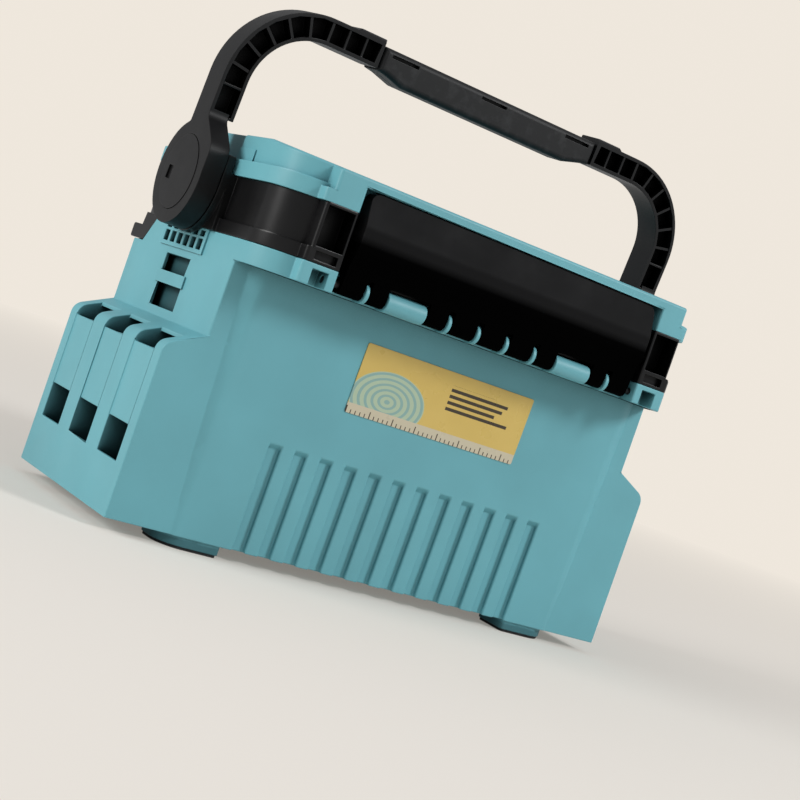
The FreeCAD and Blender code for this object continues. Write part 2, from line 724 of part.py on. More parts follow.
# Rubber soles under the four feet.
foot_names = ("front_left", "front_right", "rear_left", "rear_right")
sole_loops = foot_loops(Size(1.0))
for name, number in zip(foot_names, (1, 0, 3, 2)):
    sole = new_body("foot_pad_" + name)
    add(sole, "sole_" + name, "XY", 0, s.pad_thickness, [sole_loops[number]])


# The label lies on the leaning front wall.
label = new_body("label_plate")
add(label, "plate", "XZ", 0, s.label_thickness, [
    rectangle(s.label_centre_x - s.label_length / 2, s.label_centre_x + s.label_length / 2,
              -s.label_width / 2, s.label_width / 2, (1.5, 1.5, 1.5, 1.5))])
label_z = tub_bottom + s.label_centre_z
label.Placement = FreeCAD.Placement(
    FreeCAD.Vector(0, -wall_y(label_z).value, label_z.value),
    FreeCAD.Rotation(FreeCAD.Vector(1, 0, 0), math.degrees(math.atan(s.tub_slope.value))))


# The inner tray rests on the two end ledges.
tray = new_body("inner_tray")
tray_half_length = s.tub_half_length - s.wall + s.tub_slope * s.ledge_height - s.tray_clearance
tray_half_depth = s.tub_half_depth - s.wall + s.tub_slope * s.ledge_height - s.tray_clearance
tray_top = ledge_top + s.tray_height
tray_corner = Size(11.0)
add(tray, "tray_block", "XY", ledge_top, tray_top, [
    rectangle(-tray_half_length, tray_half_length, -tray_half_depth, tray_half_depth,
              (tray_corner, tray_corner, tray_corner, tray_corner))])
tray_inner_length = tray_half_length - s.tray_wall
tray_inner_depth = tray_half_depth - s.tray_wall
tray_inner_corner = tray_corner - s.tray_wall
cut(tray, "tray_hollow", "XY", ledge_top + s.tray_wall, tray_top + MARGIN, [
    rectangle(-tray_inner_length, tray_inner_length, -tray_inner_depth, tray_inner_depth,
              (tray_inner_corner, tray_inner_corner, tray_inner_corner, tray_inner_corner))])
guide = Size(1.5)
divider_slack = Size(0.15)
guide_loops = []
for place in (-1, 0, 1):
    for side in SIDES:
        for edge in SIDES:
            near_x = s.divider_pitch * place + (s.divider / 2 + divider_slack) * side
            far_x = near_x + guide * side
            near_y = (tray_inner_depth + 0.5) * edge
            far_y = (tray_inner_depth - 4) * edge
            xs = (near_x, far_x) if side > 0 else (far_x, near_x)
            ys = (far_y, near_y) if edge > 0 else (near_y, far_y)
            guide_loops.append(rectangle(*xs, *ys))
add(tray, "divider_guides", "XY", ledge_top + s.tray_wall - 0.5, tray_top - 3, guide_loops)

dividers = doc.addObject("Part::Compound", "tray_dividers")
dividers.Label = "tray_dividers"
plates = []
for place in (-1, 0, 1):
    plate = doc.addObject("Part::Box", "divider_%d" % (place + 2))
    spans = {
        "Length": s.divider,
        "Width": (tray_inner_depth - divider_slack) * 2,
        "Height": s.tray_height - s.tray_wall - 5,
        "Placement.Base.x": s.divider_pitch * place - s.divider / 2,
        "Placement.Base.y": divider_slack - tray_inner_depth,
        "Placement.Base.z": ledge_top + s.tray_wall,
    }
    for field, span in spans.items():
        plate.setExpression(field, span.text)
    plates.append(plate)
dividers.Links = plates
finished.append(dividers)


def rod(name, half_length, y, z):
    item = doc.addObject("Part::Cylinder", name)
    item.Label = name
    item.setExpression("Radius", s.rod_radius.text)
    item.setExpression("Height", (half_length * 2).text)
    item.Placement = FreeCAD.Placement(
        FreeCAD.Vector(-half_length.value, y.value, z.value),
        FreeCAD.Rotation(FreeCAD.Vector(0, 1, 0), 90))
    finished.append(item)


rod("latch_rod", rod_reach - 0.5, latch_y, latch_z)
rod("hinge_rod", hinge_reach - 0.5, hinge_y, hinge_z)


# The front latch: a long curved plate with cheeks and ribs behind it, and a barrel
# at its lower edge that is cut away round each hook.
latch = new_body("front_latch")
lip_bottom = frame_top + s.cover_edge - s.lip_thickness
latch_top = lip_bottom - s.latch_lip_gap
belly_top = latch_z + 43
belly_bottom = latch_z + 27
waist = latch_z + 15
skin = s.latch_skin
barrel_front = latch_y - s.barrel_radius


def latch_profile(depth):
    """Points down one face of the plate, this deep behind its front."""
    return [
        (-s.latch_top_depth + depth, latch_top, 0),
        (-s.latch_belly_depth + depth, belly_top, 14),
        (-s.latch_belly_depth + depth, belly_bottom, 10),
        (barrel_front - 1.5 + depth, waist, 12),
        (barrel_front + depth, latch_z, 0),
    ]


add(latch, "plate", "YZ", -s.latch_half_length, s.latch_half_length, [
    latch_profile(Size(0)) + latch_profile(skin)[::-1]])
cheek_back = -(s.recess_depth + 3)
cheek = [(x, y, 0) for x, y, r in latch_profile(skin / 2)] + [
    (latch_y, latch_z, 0), (cheek_back, waist + 4, 0), (cheek_back, latch_top, 0)]
add(latch, "cheek_left", "YZ", -s.latch_half_length, skin - s.latch_half_length, [cheek])
add(latch, "cheek_right", "YZ", s.latch_half_length - skin, s.latch_half_length, [cheek])
latch_rib = [(x, y, 0) for x, y, r in latch_profile(skin / 2)] + [
    (latch_y, latch_z, 0), (latch_y + 1, waist, 0), (-s.latch_top_depth + skin, latch_top - 6, 0)]
rib = add(latch, "rib", "YZ", Size(-106.2), Size(-103.8), [latch_rib])
repeat(latch, "ribs", [rib], "X", 9, Size(26.25))
add(latch, "barrel", "YZ", -s.latch_half_length, s.latch_half_length,
    circles=[(latch_y, latch_z, s.barrel_radius)])
gap_loops = []
gap_back = latch_y + s.barrel_radius + 1
for place, width in LATCH_HOOKS:
    half = Size(width) / 2 + s.hook_side_gap
    gap_loops += both_sides(rectangle(
        Size(place) - half, Size(place) + half, latch_y - s.hook_radius - 1.5, gap_back))
cut(latch, "hook_gaps", "XY", latch_z - s.hook_radius - MARGIN, hook_top + 2.2, gap_loops)
cut(latch, "barrel_bore", "YZ", -(s.latch_half_length + MARGIN), s.latch_half_length + MARGIN,
    circles=[(latch_y, latch_z, rod_bore)])
latch_end, corner_reach = s.latch_half_length, Size(9.0)
cut(latch, "upper_corners", "XZ", -cheek_back - MARGIN, s.latch_belly_depth + MARGIN, both_sides([
    (latch_end + MARGIN, latch_top + MARGIN, 0),
    (latch_end - corner_reach, latch_top + MARGIN, 0),
    (latch_end - corner_reach, latch_top, 0),
    (latch_end, latch_top, 7),
    (latch_end, latch_top - corner_reach, 0),
    (latch_end + MARGIN, latch_top - corner_reach, 0)]))


# The lid frame: a ring with a base that is flush with the flange, a handle boss at each
# end, ears at its rear corners and hinge knuckles along its rear edge.
frame = new_body("lid_frame")
frame_half_length = s.lid_half_length - s.frame_inset
frame_front = s.front_depth - s.frame_inset
frame_corner = s.lid_corner - s.frame_inset
frame_rear_corner = s.frame_rear_corner - s.frame_inset
base_top = flange_top + s.belt_line
add(frame, "ring", "XY", frame_bottom, frame_top, [
    lid_outline(frame_half_length, frame_front, s.frame_rear, frame_corner,
                frame_rear_corner)])
add(frame, "base", "XY", frame_bottom, base_top, [
    lid_outline(s.lid_half_length, s.front_depth, s.frame_rear, s.lid_corner,
                s.frame_rear_corner)])
add(frame, "ring_blocks", "XY", frame_bottom, frame_top,
    front_blocks(s.block_outer - s.frame_inset, s.block_depth))
add(frame, "base_blocks", "XY", frame_bottom, base_top,
    front_blocks(s.block_outer, s.block_depth))
cut(frame, "latch_recess", "XY", frame_bottom, frame_top, latch_recess())
boss_half = s.boss_half_width
boss_root = s.lid_half_length + s.grid_proud + s.boss_gap
boss_low, boss_high = hub_y - boss_half, hub_y + boss_half
add(frame, "boss_link_left", "YZ", -(boss_root + MARGIN), -(frame_half_length - 6), [
    rectangle(boss_low, boss_high, frame_bottom, frame_top)])
add(frame, "boss_link_right", "YZ", frame_half_length - 6, boss_root + MARGIN, [
    rectangle(boss_low, boss_high, frame_bottom, frame_top)])
inner_half_length = frame_half_length - s.wall
cut(frame, "hollow", "XY", frame_bottom + s.frame_ledge, frame_top - s.frame_ledge, [
    lid_outline(inner_half_length, s.recess_depth - s.wall, s.frame_rear - s.wall,
                s.lid_corner - s.wall * 3, frame_rear_corner - s.wall)])
mouth_lean = s.tub_slope * (flange_top - floor_top)
mouth_length = cavity_half_length + mouth_lean
mouth_depth = cavity_half_depth + mouth_lean
cut(frame, "mouth", "XY", frame_bottom - MARGIN, frame_bottom + s.frame_ledge + MARGIN, [
    rectangle(-mouth_length, mouth_length, -mouth_depth, mouth_depth, (15, 15, 15, 15))])
head_ledge = Size(14.0)
cut(frame, "head", "XY", frame_top - s.frame_ledge - MARGIN, frame_top + MARGIN, [
    lid_outline(inner_half_length - head_ledge, s.recess_depth - s.wall - head_ledge,
                s.frame_rear - s.wall - head_ledge, Size(12), Size(16))])
lug_rear = s.flange_rear - MARGIN
lug_top = ear_bottom + s.ear_lug
ear_loop = [
    (s.ear_start, ear_bottom, 0),
    (lug_rear, ear_bottom, 2),
    (lug_rear, lug_top, 2),
    (s.ear_start + 11, lug_top, 0),
    (s.ear_start + 9, flange_top + MARGIN, 0),
    (s.ear_start - s.ear_slope, flange_top + MARGIN, 0),
]
for side, word in ((-1, "left"), (1, "right")):
    def levels(low, high, side=side):
        return (low, high) if side > 0 else (-high, -low)

    add(frame, "boss_" + word, "YZ", *levels(boss_root, s.boss_face), [
        rectangle(boss_low, boss_high, hub_z - boss_half, frame_top + s.rim_height,
                  (boss_half - 0.1, boss_half - 0.1, 2, 2))])
    add(frame, "ear_" + word, "YZ", *levels(ear_inner, s.lid_half_length - 0.5), [
        ear_loop])
    cut(frame, "pin_bore_" + word, "YZ",
        *levels(frame_half_length - 8, s.boss_face + MARGIN),
        circles=[(hub_y, hub_z, s.pin_radius)])
window_inner = s.block_inner + 2.3
window_outer = s.block_outer - s.frame_inset - 2.3
cut(frame, "block_windows", "XY", base_top + 1.5, frame_top - 2, both_sides(
    rectangle(window_inner, window_outer, -(s.block_depth + MARGIN), -s.recess_depth)))
cut(frame, "block_notches", "XY", frame_bottom + 2, base_top - 1.5, both_sides(
    rectangle(window_inner + 2, window_outer - 2, -(s.block_depth + MARGIN),
              -(s.block_depth - 4))))
add(frame, "catch_ledge", "XY", frame_top - 9, frame_top - 5, [
    rectangle(-60, 60, -(s.recess_depth + 3), -(s.recess_depth - MARGIN))])
add(frame, "frame_knuckles", "XY", knuckle_bottom, frame_bottom + s.frame_ledge,
    knuckles((-3, -1, 1, 3), hinge_y - s.knuckle_radius))
round_edges(frame, "frame_knuckle_rounds", s.knuckle_radius - 0.1, lambda edge: (
    runs_along(edge, "x") and near(edge.Vertexes[0].Z, knuckle_bottom)
    and abs(edge.CenterOfMass.x) < hinge_reach.value))
cut(frame, "hinge_bore", "YZ", -hinge_reach, hinge_reach, circles=[(hinge_y, hinge_z, rod_bore)])
seal_mid_x = mouth_length + 2.8
seal_mid_front = s.recess_depth - s.wall - 20
seal_mid_rear = s.flange_rear - 3


def seal_loops(slack):
    """Outer and inner edge of the seal, or of its groove."""
    half = s.seal_width / 2 + slack
    loops = []
    for sign in (1, -1):
        radius = s.seal_corner + half * sign
        loops.append(rectangle(
            -(seal_mid_x + half * sign), seal_mid_x + half * sign,
            -(seal_mid_front + half * sign), seal_mid_rear + half * sign,
            (radius, radius, radius, radius)))
    return loops


cut(frame, "seal_groove", "XY", frame_bottom - MARGIN, flange_top + s.seal_height,
    seal_loops(Size(0.15)))

seal = new_body("lid_seal")
add(seal, "seal_ring", "XY", flange_top, flange_top + s.seal_height, seal_loops(Size(0)))


# The cover: a rim, a wall that steps in above it, blocks beside the latch, a lip over
# the latch and a top that falls to the front and the rear.
cover = new_body("lid_cover")
rim_top = frame_top + s.rim_height
step = s.rim_step
wall_start = frame_top + 2
upper_half_length = s.lid_half_length - step
upper_front = s.front_depth - step
upper_rear = s.cover_rear - step
add(cover, "rim", "XY", frame_top, rim_top, [
    lid_outline(s.lid_half_length, s.front_depth, s.cover_rear, s.lid_corner, s.lid_corner)])
add(cover, "upper_wall", "XY", wall_start, cover_top, [
    lid_outline(upper_half_length, upper_front, upper_rear,
                s.lid_corner - step, s.lid_corner - step)])
add(cover, "rim_blocks", "XY", frame_top, rim_top - 3,
    front_blocks(s.block_outer, s.block_depth))
add(cover, "upper_blocks", "XY", wall_start, cover_top,
    front_blocks(s.block_outer - s.block_step, s.block_depth))
cut(cover, "latch_recess", "XY", frame_top, lip_bottom, latch_recess())
add(cover, "lip", "XY", lip_bottom, cover_top, [
    rectangle(-(s.block_inner + 6), s.block_inner + 6, -s.block_depth,
              -(s.recess_depth - MARGIN))])
edge_z = frame_top + s.cover_edge
crown_front = -(s.seat_front + 12)
crown_rear = s.seat_rear + 14
front_end = -(s.block_depth + MARGIN)
rear_end = s.cover_rear + MARGIN
over = cover_top + MARGIN
wide = s.lid_half_length + MARGIN
cut(cover, "top_falls", "YZ", -wide, wide, [
    [(front_end, edge_z, 0), (crown_front, cover_top, 0), (crown_front, over, 0),
     (front_end, over, 0)],
    [(rear_end, edge_z, 0), (rear_end, over, 0), (crown_rear, over, 0),
     (crown_rear, cover_top, 0)]])
round_edges(cover, "top_round", 2.0, lambda edge: (
    edge.BoundBox.ZMin > edge_z.value - 0.5
    and not (runs_along(edge, "x") and near(edge.BoundBox.ZMin, cover_top))))
pilaster = Size(50.0)
notch_half = Size(24.0)
pilaster_loop = rectangle(upper_half_length - 8, upper_half_length + 1.2,
                          hub_y - pilaster, hub_y + pilaster)
add(cover, "pilasters", "XY", wall_start, edge_z - 3, both_sides(pilaster_loop))
hollow_top = edge_z - s.wall
upper_inner = upper_half_length - s.wall
cut(cover, "hollow", "XY", frame_top - MARGIN, hollow_top, [
    lid_outline(upper_inner, s.recess_depth - s.wall, upper_rear - s.wall, Size(22),
                s.lid_corner - step - s.wall)])
cut(cover, "rim_hollow", "XY", frame_top - MARGIN, wall_start + 5, [
    lid_outline(s.lid_half_length - s.wall, s.recess_depth - s.wall,
                s.cover_rear - s.wall, s.lid_corner - s.wall * 3, s.lid_corner - s.wall)])
cut(cover, "crown_hollow", "XY", hollow_top - MARGIN, cover_top - s.wall - MARGIN, [
    rectangle(-(s.seat_half_length + 18), s.seat_half_length + 18, crown_front + 3,
              crown_rear - 3, (8, 8, 8, 8))])
seat_loop = rectangle(-s.seat_half_length, s.seat_half_length, -s.seat_front, s.seat_rear,
                      (10, 10, 10, 10))
cut(cover, "seat_panel", "XY", cover_top - s.seat_sink, cover_top + MARGIN, [seat_loop])
ridge_pitch = (s.seat_front + s.seat_rear) / 10
ridge_low = ridge_pitch - s.seat_front
ridge = add(cover, "seat_ridge", "XY", cover_top - s.seat_sink - 0.5, cover_top - 0.3, [
    rectangle(-(s.seat_half_length - 10), s.seat_half_length - 10, ridge_low - 1.5,
              ridge_low + 1.5, (1.4, 1.4, 1.4, 1.4))])
repeat(cover, "seat_ridges", [ridge], "Y", 9, ridge_pitch)
inner_ribs = []
for place in (-130, -65, 0, 65, 130):
    inner_ribs.append(rectangle(Size(place - 1.1), Size(place + 1.1), -(s.recess_depth - s.wall),
                                upper_rear - s.wall))
add(cover, "cross_ribs", "XY", hollow_top - 8, hollow_top + 2, inner_ribs)
notch_inner = upper_half_length - 7
add(cover, "notch_backing", "XY", rim_top - 2, hollow_top + MARGIN, both_sides(
    rectangle(notch_inner, upper_inner + MARGIN, hub_y - notch_half - 3,
              hub_y + notch_half + 3)))
cut(cover, "handle_notch", "XY", rim_top, over, both_sides(
    rectangle(notch_inner + s.wall, s.lid_half_length, hub_y - notch_half,
              hub_y + notch_half)))

screw_side = s.lid_half_length - 15
screw_rear = s.frame_rear - 9
screw_front = -(s.recess_depth - 10)
screw_places = []
for x, y in ((screw_side, Size(40)), (screw_side, screw_front + 30),
             (Size(118), screw_rear), (Size(40), screw_rear),
             (Size(118), screw_front), (Size(40), screw_front)):
    screw_places += [(x, y), (-x, y)]
screw_radius = Size(1.7)
post_radius = Size(4.6)
post_circles = [(x, y, post_radius) for x, y in screw_places]
hole_circles = [(x, y, screw_radius) for x, y in screw_places]
frame_holes = [(x, y, screw_radius + 0.3) for x, y in screw_places]
add(cover, "screw_posts", "XY", frame_top, hollow_top + MARGIN, circles=post_circles)
cut(cover, "screw_holes", "XY", frame_top - MARGIN, frame_top + 12, circles=hole_circles)
cut(frame, "screw_holes", "XY", frame_top - s.frame_ledge - MARGIN, frame_top + MARGIN,
    circles=frame_holes)

head_height = 2.4
shank_top = frame_top.value + 10
head_low = frame_top.value - s.frame_ledge.value - head_height
screw_solids = []
for x, y in screw_places:
    foot = FreeCAD.Vector(x.value, y.value, head_low)
    head = Part.makeCylinder(3.4, head_height, foot)
    drive = Part.makeCylinder(1.2, 1.4, foot)
    shank = Part.makeCylinder(screw_radius.value - 0.02, shank_top - head_low, foot)
    screw_solids.append(head.fuse(shank).removeSplitter().cut(drive))
screws = doc.addObject("Part::Feature", "lid_screws")
screws.Label = "lid_screws"
screws.Shape = Part.makeCompound(screw_solids)
finished.append(screws)


# The handle is drawn upright and then leans forward about the hub axis.
bow = new_body("handle_bow")
disc_inner = s.boss_face + s.hub_gap
disc_outer = s.handle_half_length
bow_top = hub_z + s.handle_rise
inner_x = s.handle_half_length - s.bow_thickness
inner_top = bow_top - s.bow_thickness
inner_radius = s.bow_radius - s.bow_thickness
arm_foot = hub_z + s.boss_half_width + 7
front_level = s.hub_depth + s.bow_half_width
rear_level = s.hub_depth - s.bow_half_width


def bow_loop(inset, foot):
    """The bow seen from the front, drawn in by an inset on its outer and inner sides."""
    outer_x, outer_z = s.handle_half_length - inset, bow_top - inset
    core_x, core_z = inner_x + inset, inner_top + inset
    outer_bend, inner_bend = s.bow_radius - inset, inner_radius + inset
    return [
        (-outer_x, foot, 0), (-core_x, foot, 0), (-core_x, core_z, inner_bend),
        (core_x, core_z, inner_bend), (core_x, foot, 0), (outer_x, foot, 0),
        (outer_x, outer_z, outer_bend), (-outer_x, outer_z, outer_bend),
    ]


add(bow, "bar", "XZ", rear_level, front_level, [bow_loop(Size(0), arm_foot)])
web_half = s.bow_skin / 2
channel = bow_loop(s.bow_skin, arm_foot + 2)
cut(bow, "front_channel", "XZ", s.hub_depth + web_half, front_level + MARGIN, [channel])
cut(bow, "rear_channel", "XZ", rear_level - MARGIN, s.hub_depth - web_half, [channel])
bend_x = s.handle_half_length - s.bow_radius
bend_z = bow_top - s.bow_radius
rib_recess = Size(0.8)
rib_levels = (rear_level + rib_recess, front_level - rib_recess)
rib_turn = math.radians(9)
rib_half = s.bow_rib / 2


def turned(x, y):
    """A point of the first rib of a bend, which is turned up from the level."""
    return (x * math.cos(rib_turn) - y * math.sin(rib_turn),
            x * math.sin(rib_turn) + y * math.cos(rib_turn), 0)


bend_loop = [turned(x, y) for x, y, r in rectangle(
    inner_radius + 0.5, s.bow_radius - 0.5, -rib_half, rib_half)]
rib_steps = (0.5, -14, -29)
leg_rib_z = bend_z - 6
for side, word in ((-1, "left"), (1, "right")):
    loop = bend_loop if side > 0 else mirrored(bend_loop)
    bend_rib = add(bow, "bend_rib_" + word, "XZ", *rib_levels, [loop],
                   shift=(bend_x * side, bend_z))
    fan(bow, "bend_ribs_" + word, [bend_rib], bend_rib.Profile[0], 5, 64)
    if side < 0:
        bow.Tip.Reversed = True
    straight_loops = [rectangle(inner_x + 0.5, s.handle_half_length - 0.5,
                                leg_rib_z - rib_half, leg_rib_z + rib_half)]
    for step in rib_steps:
        middle = bend_x + step
        straight_loops.append(rectangle(middle - rib_half, middle + rib_half,
                                        inner_top + 0.5, bow_top - 0.5))
    if side < 0:
        straight_loops = [mirrored(loop) for loop in straight_loops]
    add(bow, "straight_ribs_" + word, "XZ", *rib_levels, straight_loops)
grip_top = bow_top - s.grip_drop
grip_bottom = grip_top - s.grip_height
saddle_half = s.grip_half_length + 1.5
saddle_top = grip_top - s.grip_wall - 0.4
core_levels = (s.hub_depth - s.bow_core, s.hub_depth + s.bow_core)
cut(bow, "grip_saddle", "XZ", rear_level - MARGIN, front_level + MARGIN, [
    rectangle(-saddle_half, saddle_half, saddle_top, bow_top + MARGIN)])
saddle_side = [rectangle(-saddle_half, saddle_half, inner_top - MARGIN, saddle_top + MARGIN)]
cut(bow, "saddle_front", "XZ", core_levels[1], front_level + MARGIN, saddle_side)
cut(bow, "saddle_rear", "XZ", rear_level - MARGIN, core_levels[0], saddle_side)
add(bow, "saddle_ends", "XZ", rear_level, front_level, both_sides(
    rectangle(saddle_half, saddle_half + 3, inner_top, bow_top)))
add(bow, "grip_core", "XZ", *core_levels, [
    rectangle(-(saddle_half + 0.5), saddle_half + 0.5, inner_top, saddle_top)])
add(bow, "grip_keel", "XZ", *core_levels, [
    rectangle(-s.grip_flat, s.grip_flat, grip_bottom + s.grip_wall + 0.4, inner_top + MARGIN)])
tab_end = saddle_half + s.tab_length
add(bow, "tabs", "XZ", rear_level + 0.5, front_level - 0.5, both_sides([
    (saddle_half, bow_top - MARGIN, 0),
    (tab_end, bow_top - MARGIN, 0),
    (tab_end - 4, bow_top + s.tab_height, 0),
    (saddle_half, bow_top + s.tab_height, 0),
]))
arm_half = s.bow_half_width
hub_edge = hub_y - s.hub_radius + 0.6
hub_shape = [
    (hub_y - arm_half, arm_foot + 4, 0),
    (hub_y - arm_half, arm_foot - 1, 8),
    (hub_edge, hub_z + 26, 14),
    (hub_edge, hub_z, 0),
    (hub_y + s.hub_radius * 0.8, hub_z + 18, 0),
    (hub_y + arm_half, hub_z + 34, 12),
    (hub_y + arm_half, arm_foot + 4, 0),
]
cap_recess = disc_outer - s.cap_thickness
head_seat = disc_inner + 6
bore_radius = s.pin_radius + s.running
for side, word in ((-1, "left"), (1, "right")):
    def levels(low, high, side=side):
        return (low, high) if side > 0 else (-high, -low)

    add(bow, "hub_" + word, "YZ", *levels(disc_inner, disc_outer), [hub_shape])
    add(bow, "disc_" + word, "YZ", *levels(disc_inner, disc_outer),
        circles=[(hub_y, hub_z, s.hub_radius)])
    cut(bow, "cap_seat_" + word, "YZ", *levels(cap_recess, disc_outer + MARGIN),
        circles=[(hub_y, hub_z, s.cap_radius + 0.2)])
    cut(bow, "head_seat_" + word, "YZ", *levels(head_seat, disc_outer),
        circles=[(hub_y, hub_z, s.pin_head_radius + 1)])
    cut(bow, "pivot_" + word, "YZ", *levels(disc_inner - MARGIN, disc_outer),
        circles=[(hub_y, hub_z, bore_radius)])

    cap = new_body("hub_cap_" + word)
    add(cap, "cap_" + word, "YZ", *levels(cap_recess, disc_outer + 0.4),
        circles=[(hub_y, hub_z, s.cap_radius)])
    cut(cap, "pry_slot_" + word, "YZ", *levels(disc_outer - 1.2, disc_outer + MARGIN), [
        rectangle(hub_y + 11, hub_y + 19, hub_z - 8, hub_z + 2, (1, 1, 1, 1))])

    washer = new_body("pin_washer_" + word)
    washer_top = head_seat + 0.8
    add(washer, "washer_" + word, "YZ", *levels(head_seat, washer_top),
        circles=[(hub_y, hub_z, s.pin_head_radius), (hub_y, hub_z, bore_radius)])

    pin = new_body("handle_pin_" + word)
    add(pin, "shank_" + word, "YZ", *levels(frame_half_length - 5, washer_top + MARGIN),
        circles=[(hub_y, hub_z, s.pin_radius)])
    add(pin, "head_" + word, "YZ", *levels(washer_top, washer_top + 2.6),
        circles=[(hub_y, hub_z, s.pin_head_radius)])
    cut(pin, "drive_" + word, "YZ", *levels(washer_top + 1, washer_top + 3), [
        rectangle(hub_y - 7, hub_y + 7, hub_z - 1, hub_z + 1)])


def grip_loop(inset):
    """The sleeve seen from the front, with its underside chamfered at both ends."""
    half, flat = s.grip_half_length - inset, s.grip_flat
    low, high = grip_bottom + inset, grip_top - inset
    return [
        (-half, high, 0), (-half, low + 5.5, 0), (-(flat + 17), low + 4.5, 0), (-flat, low, 0),
        (flat, low, 0), (flat + 17, low + 4.5, 0), (half, low + 5.5, 0), (half, high, 0),
    ][::-1]


grips = []
split = Size(0.05)
for name, sign in (("grip_front", 1), ("grip_rear", -1)):
    def depths(near_depth, far_depth, sign=sign):
        low, high = s.hub_depth + near_depth * sign, s.hub_depth + far_depth * sign
        return (low, high) if sign > 0 else (high, low)

    shell = new_body(name)
    add(shell, name + "_block", "XZ", *depths(split, s.grip_half_width), [grip_loop(Size(0))])
    face_y = -(s.hub_depth + s.grip_half_width * sign).value
    round_edges(shell, name + "_round", 4.5, lambda edge: (
        near(edge.Vertexes[0].Y, face_y) and near(edge.Vertexes[-1].Y, face_y)))
    cut(shell, name + "_hollow", "XZ", *depths(size(-1), s.grip_half_width - s.grip_wall),
        [grip_loop(s.grip_wall)])
    passage = rectangle(-(s.grip_half_length + MARGIN), s.grip_half_length + MARGIN,
                        inner_top - 0.3, saddle_top + 0.3)
    cut(shell, name + "_passage", "XZ", *depths(size(-1), s.bow_core + 0.3), [passage])
    clips = [rectangle(Size(place - 12), Size(place + 12), grip_top - 6, grip_top - 3.6)
             for place in (-84, 0, 84)]
    cut(shell, name + "_clips", "XZ",
        *depths(s.grip_half_width - s.grip_wall - MARGIN, s.grip_half_width + MARGIN), clips)
    grips.append(shell)

handle_pieces = [bow] + grips + [item for item in finished if item.Label.startswith("hub_cap")]
lean = FreeCAD.Placement(
    FreeCAD.Vector(), FreeCAD.Rotation(FreeCAD.Vector(1, 0, 0), s.handle_lean.value),
    FreeCAD.Vector(0, hub_y.value, hub_z.value))
for piece in handle_pieces:
    piece.Placement = lean

setback = FreeCAD.Placement(FreeCAD.Vector(0, s.tub_setback.value, 0), FreeCAD.Rotation())
for piece in finished:
    piece.Placement = setback * piece.Placement

doc.recompute()
for item in doc.Objects:
    if "Invalid" in item.State or "Error" in item.State:
        raise SystemExit("%s could not be made: %s" % (item.Name, item.State))
for piece in finished:
    if piece.Shape.isNull() or not piece.Shape.isValid():
        raise SystemExit("%s has no valid shape" % piece.Label)

os.makedirs("parts", exist_ok=True)
for piece in finished:
    piece.Shape.exportStep("parts/%s.step" % piece.Label)
    print("%-22s %2d solid(s) %10.1f mm3" % (
        piece.Label, len(piece.Shape.Solids), piece.Shape.Volume))
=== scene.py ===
import bmesh
import bpy
import math
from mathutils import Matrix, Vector
from mathutils.bvhtree import BVHTree


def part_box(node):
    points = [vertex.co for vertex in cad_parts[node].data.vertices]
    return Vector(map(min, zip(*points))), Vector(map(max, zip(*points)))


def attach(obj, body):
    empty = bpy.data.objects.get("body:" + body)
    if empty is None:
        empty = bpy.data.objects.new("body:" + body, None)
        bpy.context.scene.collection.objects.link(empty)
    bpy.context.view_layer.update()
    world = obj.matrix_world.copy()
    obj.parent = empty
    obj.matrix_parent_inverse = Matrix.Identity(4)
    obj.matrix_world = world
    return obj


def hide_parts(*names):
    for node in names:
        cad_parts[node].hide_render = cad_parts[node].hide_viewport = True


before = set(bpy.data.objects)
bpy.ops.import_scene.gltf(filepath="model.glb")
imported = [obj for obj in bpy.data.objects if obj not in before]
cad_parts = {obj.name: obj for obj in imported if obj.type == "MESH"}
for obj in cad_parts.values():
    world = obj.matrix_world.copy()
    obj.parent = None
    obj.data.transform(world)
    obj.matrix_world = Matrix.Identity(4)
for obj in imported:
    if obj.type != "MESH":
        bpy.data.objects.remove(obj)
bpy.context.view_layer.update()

# The camera stands in front of the left end at the height of the label. It looks a little
# down and is rolled, so that the box leans to the right in the picture.
camera_data = bpy.data.cameras.new("camera")
camera_data.sensor_width = 36.0
camera_data.lens = 77.77
camera_data.clip_end = 60.0
camera = bpy.data.objects.new("camera", camera_data)
camera.location = (-0.6972, -1.1503, 0.1776)
camera.rotation_euler = [math.radians(angle) for angle in (88.525, -19.201, -31.492)]
bpy.context.collection.objects.link(camera)
bpy.context.scene.camera = camera


# The stage is a wide pale floor that fades into a pale surround of the same colour, so
# that no horizon shows. The floor keeps the shadow of the box.
def begin_material(name):
    material = bpy.data.materials.new(name)
    material.use_nodes = True
    tree = material.node_tree
    return material, tree, tree.nodes["Principled BSDF"]


def place(tree, kind, values=None, **settings):
    """A shader node with its settings, and its inputs given as numbers or as sockets."""
    node = tree.nodes.new(kind)
    for key, value in settings.items():
        setattr(node, key, value)
    for key, value in (values or {}).items():
        if isinstance(value, bpy.types.NodeSocket):
            tree.links.new(value, node.inputs[key])
        else:
            node.inputs[key].default_value = value
    return node


def calc(tree, operation, first, second=0.0, third=0.0, clamp=False):
    values = {0: first, 1: second, 2: third}
    return place(tree, "ShaderNodeMath", values, operation=operation, use_clamp=clamp).outputs[0]


def blend_colours(tree, share, low, high):
    values = {0: share, 6: low, 7: high}
    return place(tree, "ShaderNodeMix", values, data_type="RGBA").outputs[2]


def spread(tree, value, low, high, new_low=0.0, new_high=1.0):
    """A value moved from one range to another, and kept inside it."""
    values = {"Value": value, "From Min": low, "From Max": high,
              "To Min": new_low, "To Max": new_high}
    return place(tree, "ShaderNodeMapRange", values).outputs["Result"]


def object_place(tree):
    return place(tree, "ShaderNodeTexCoord").outputs["Object"]


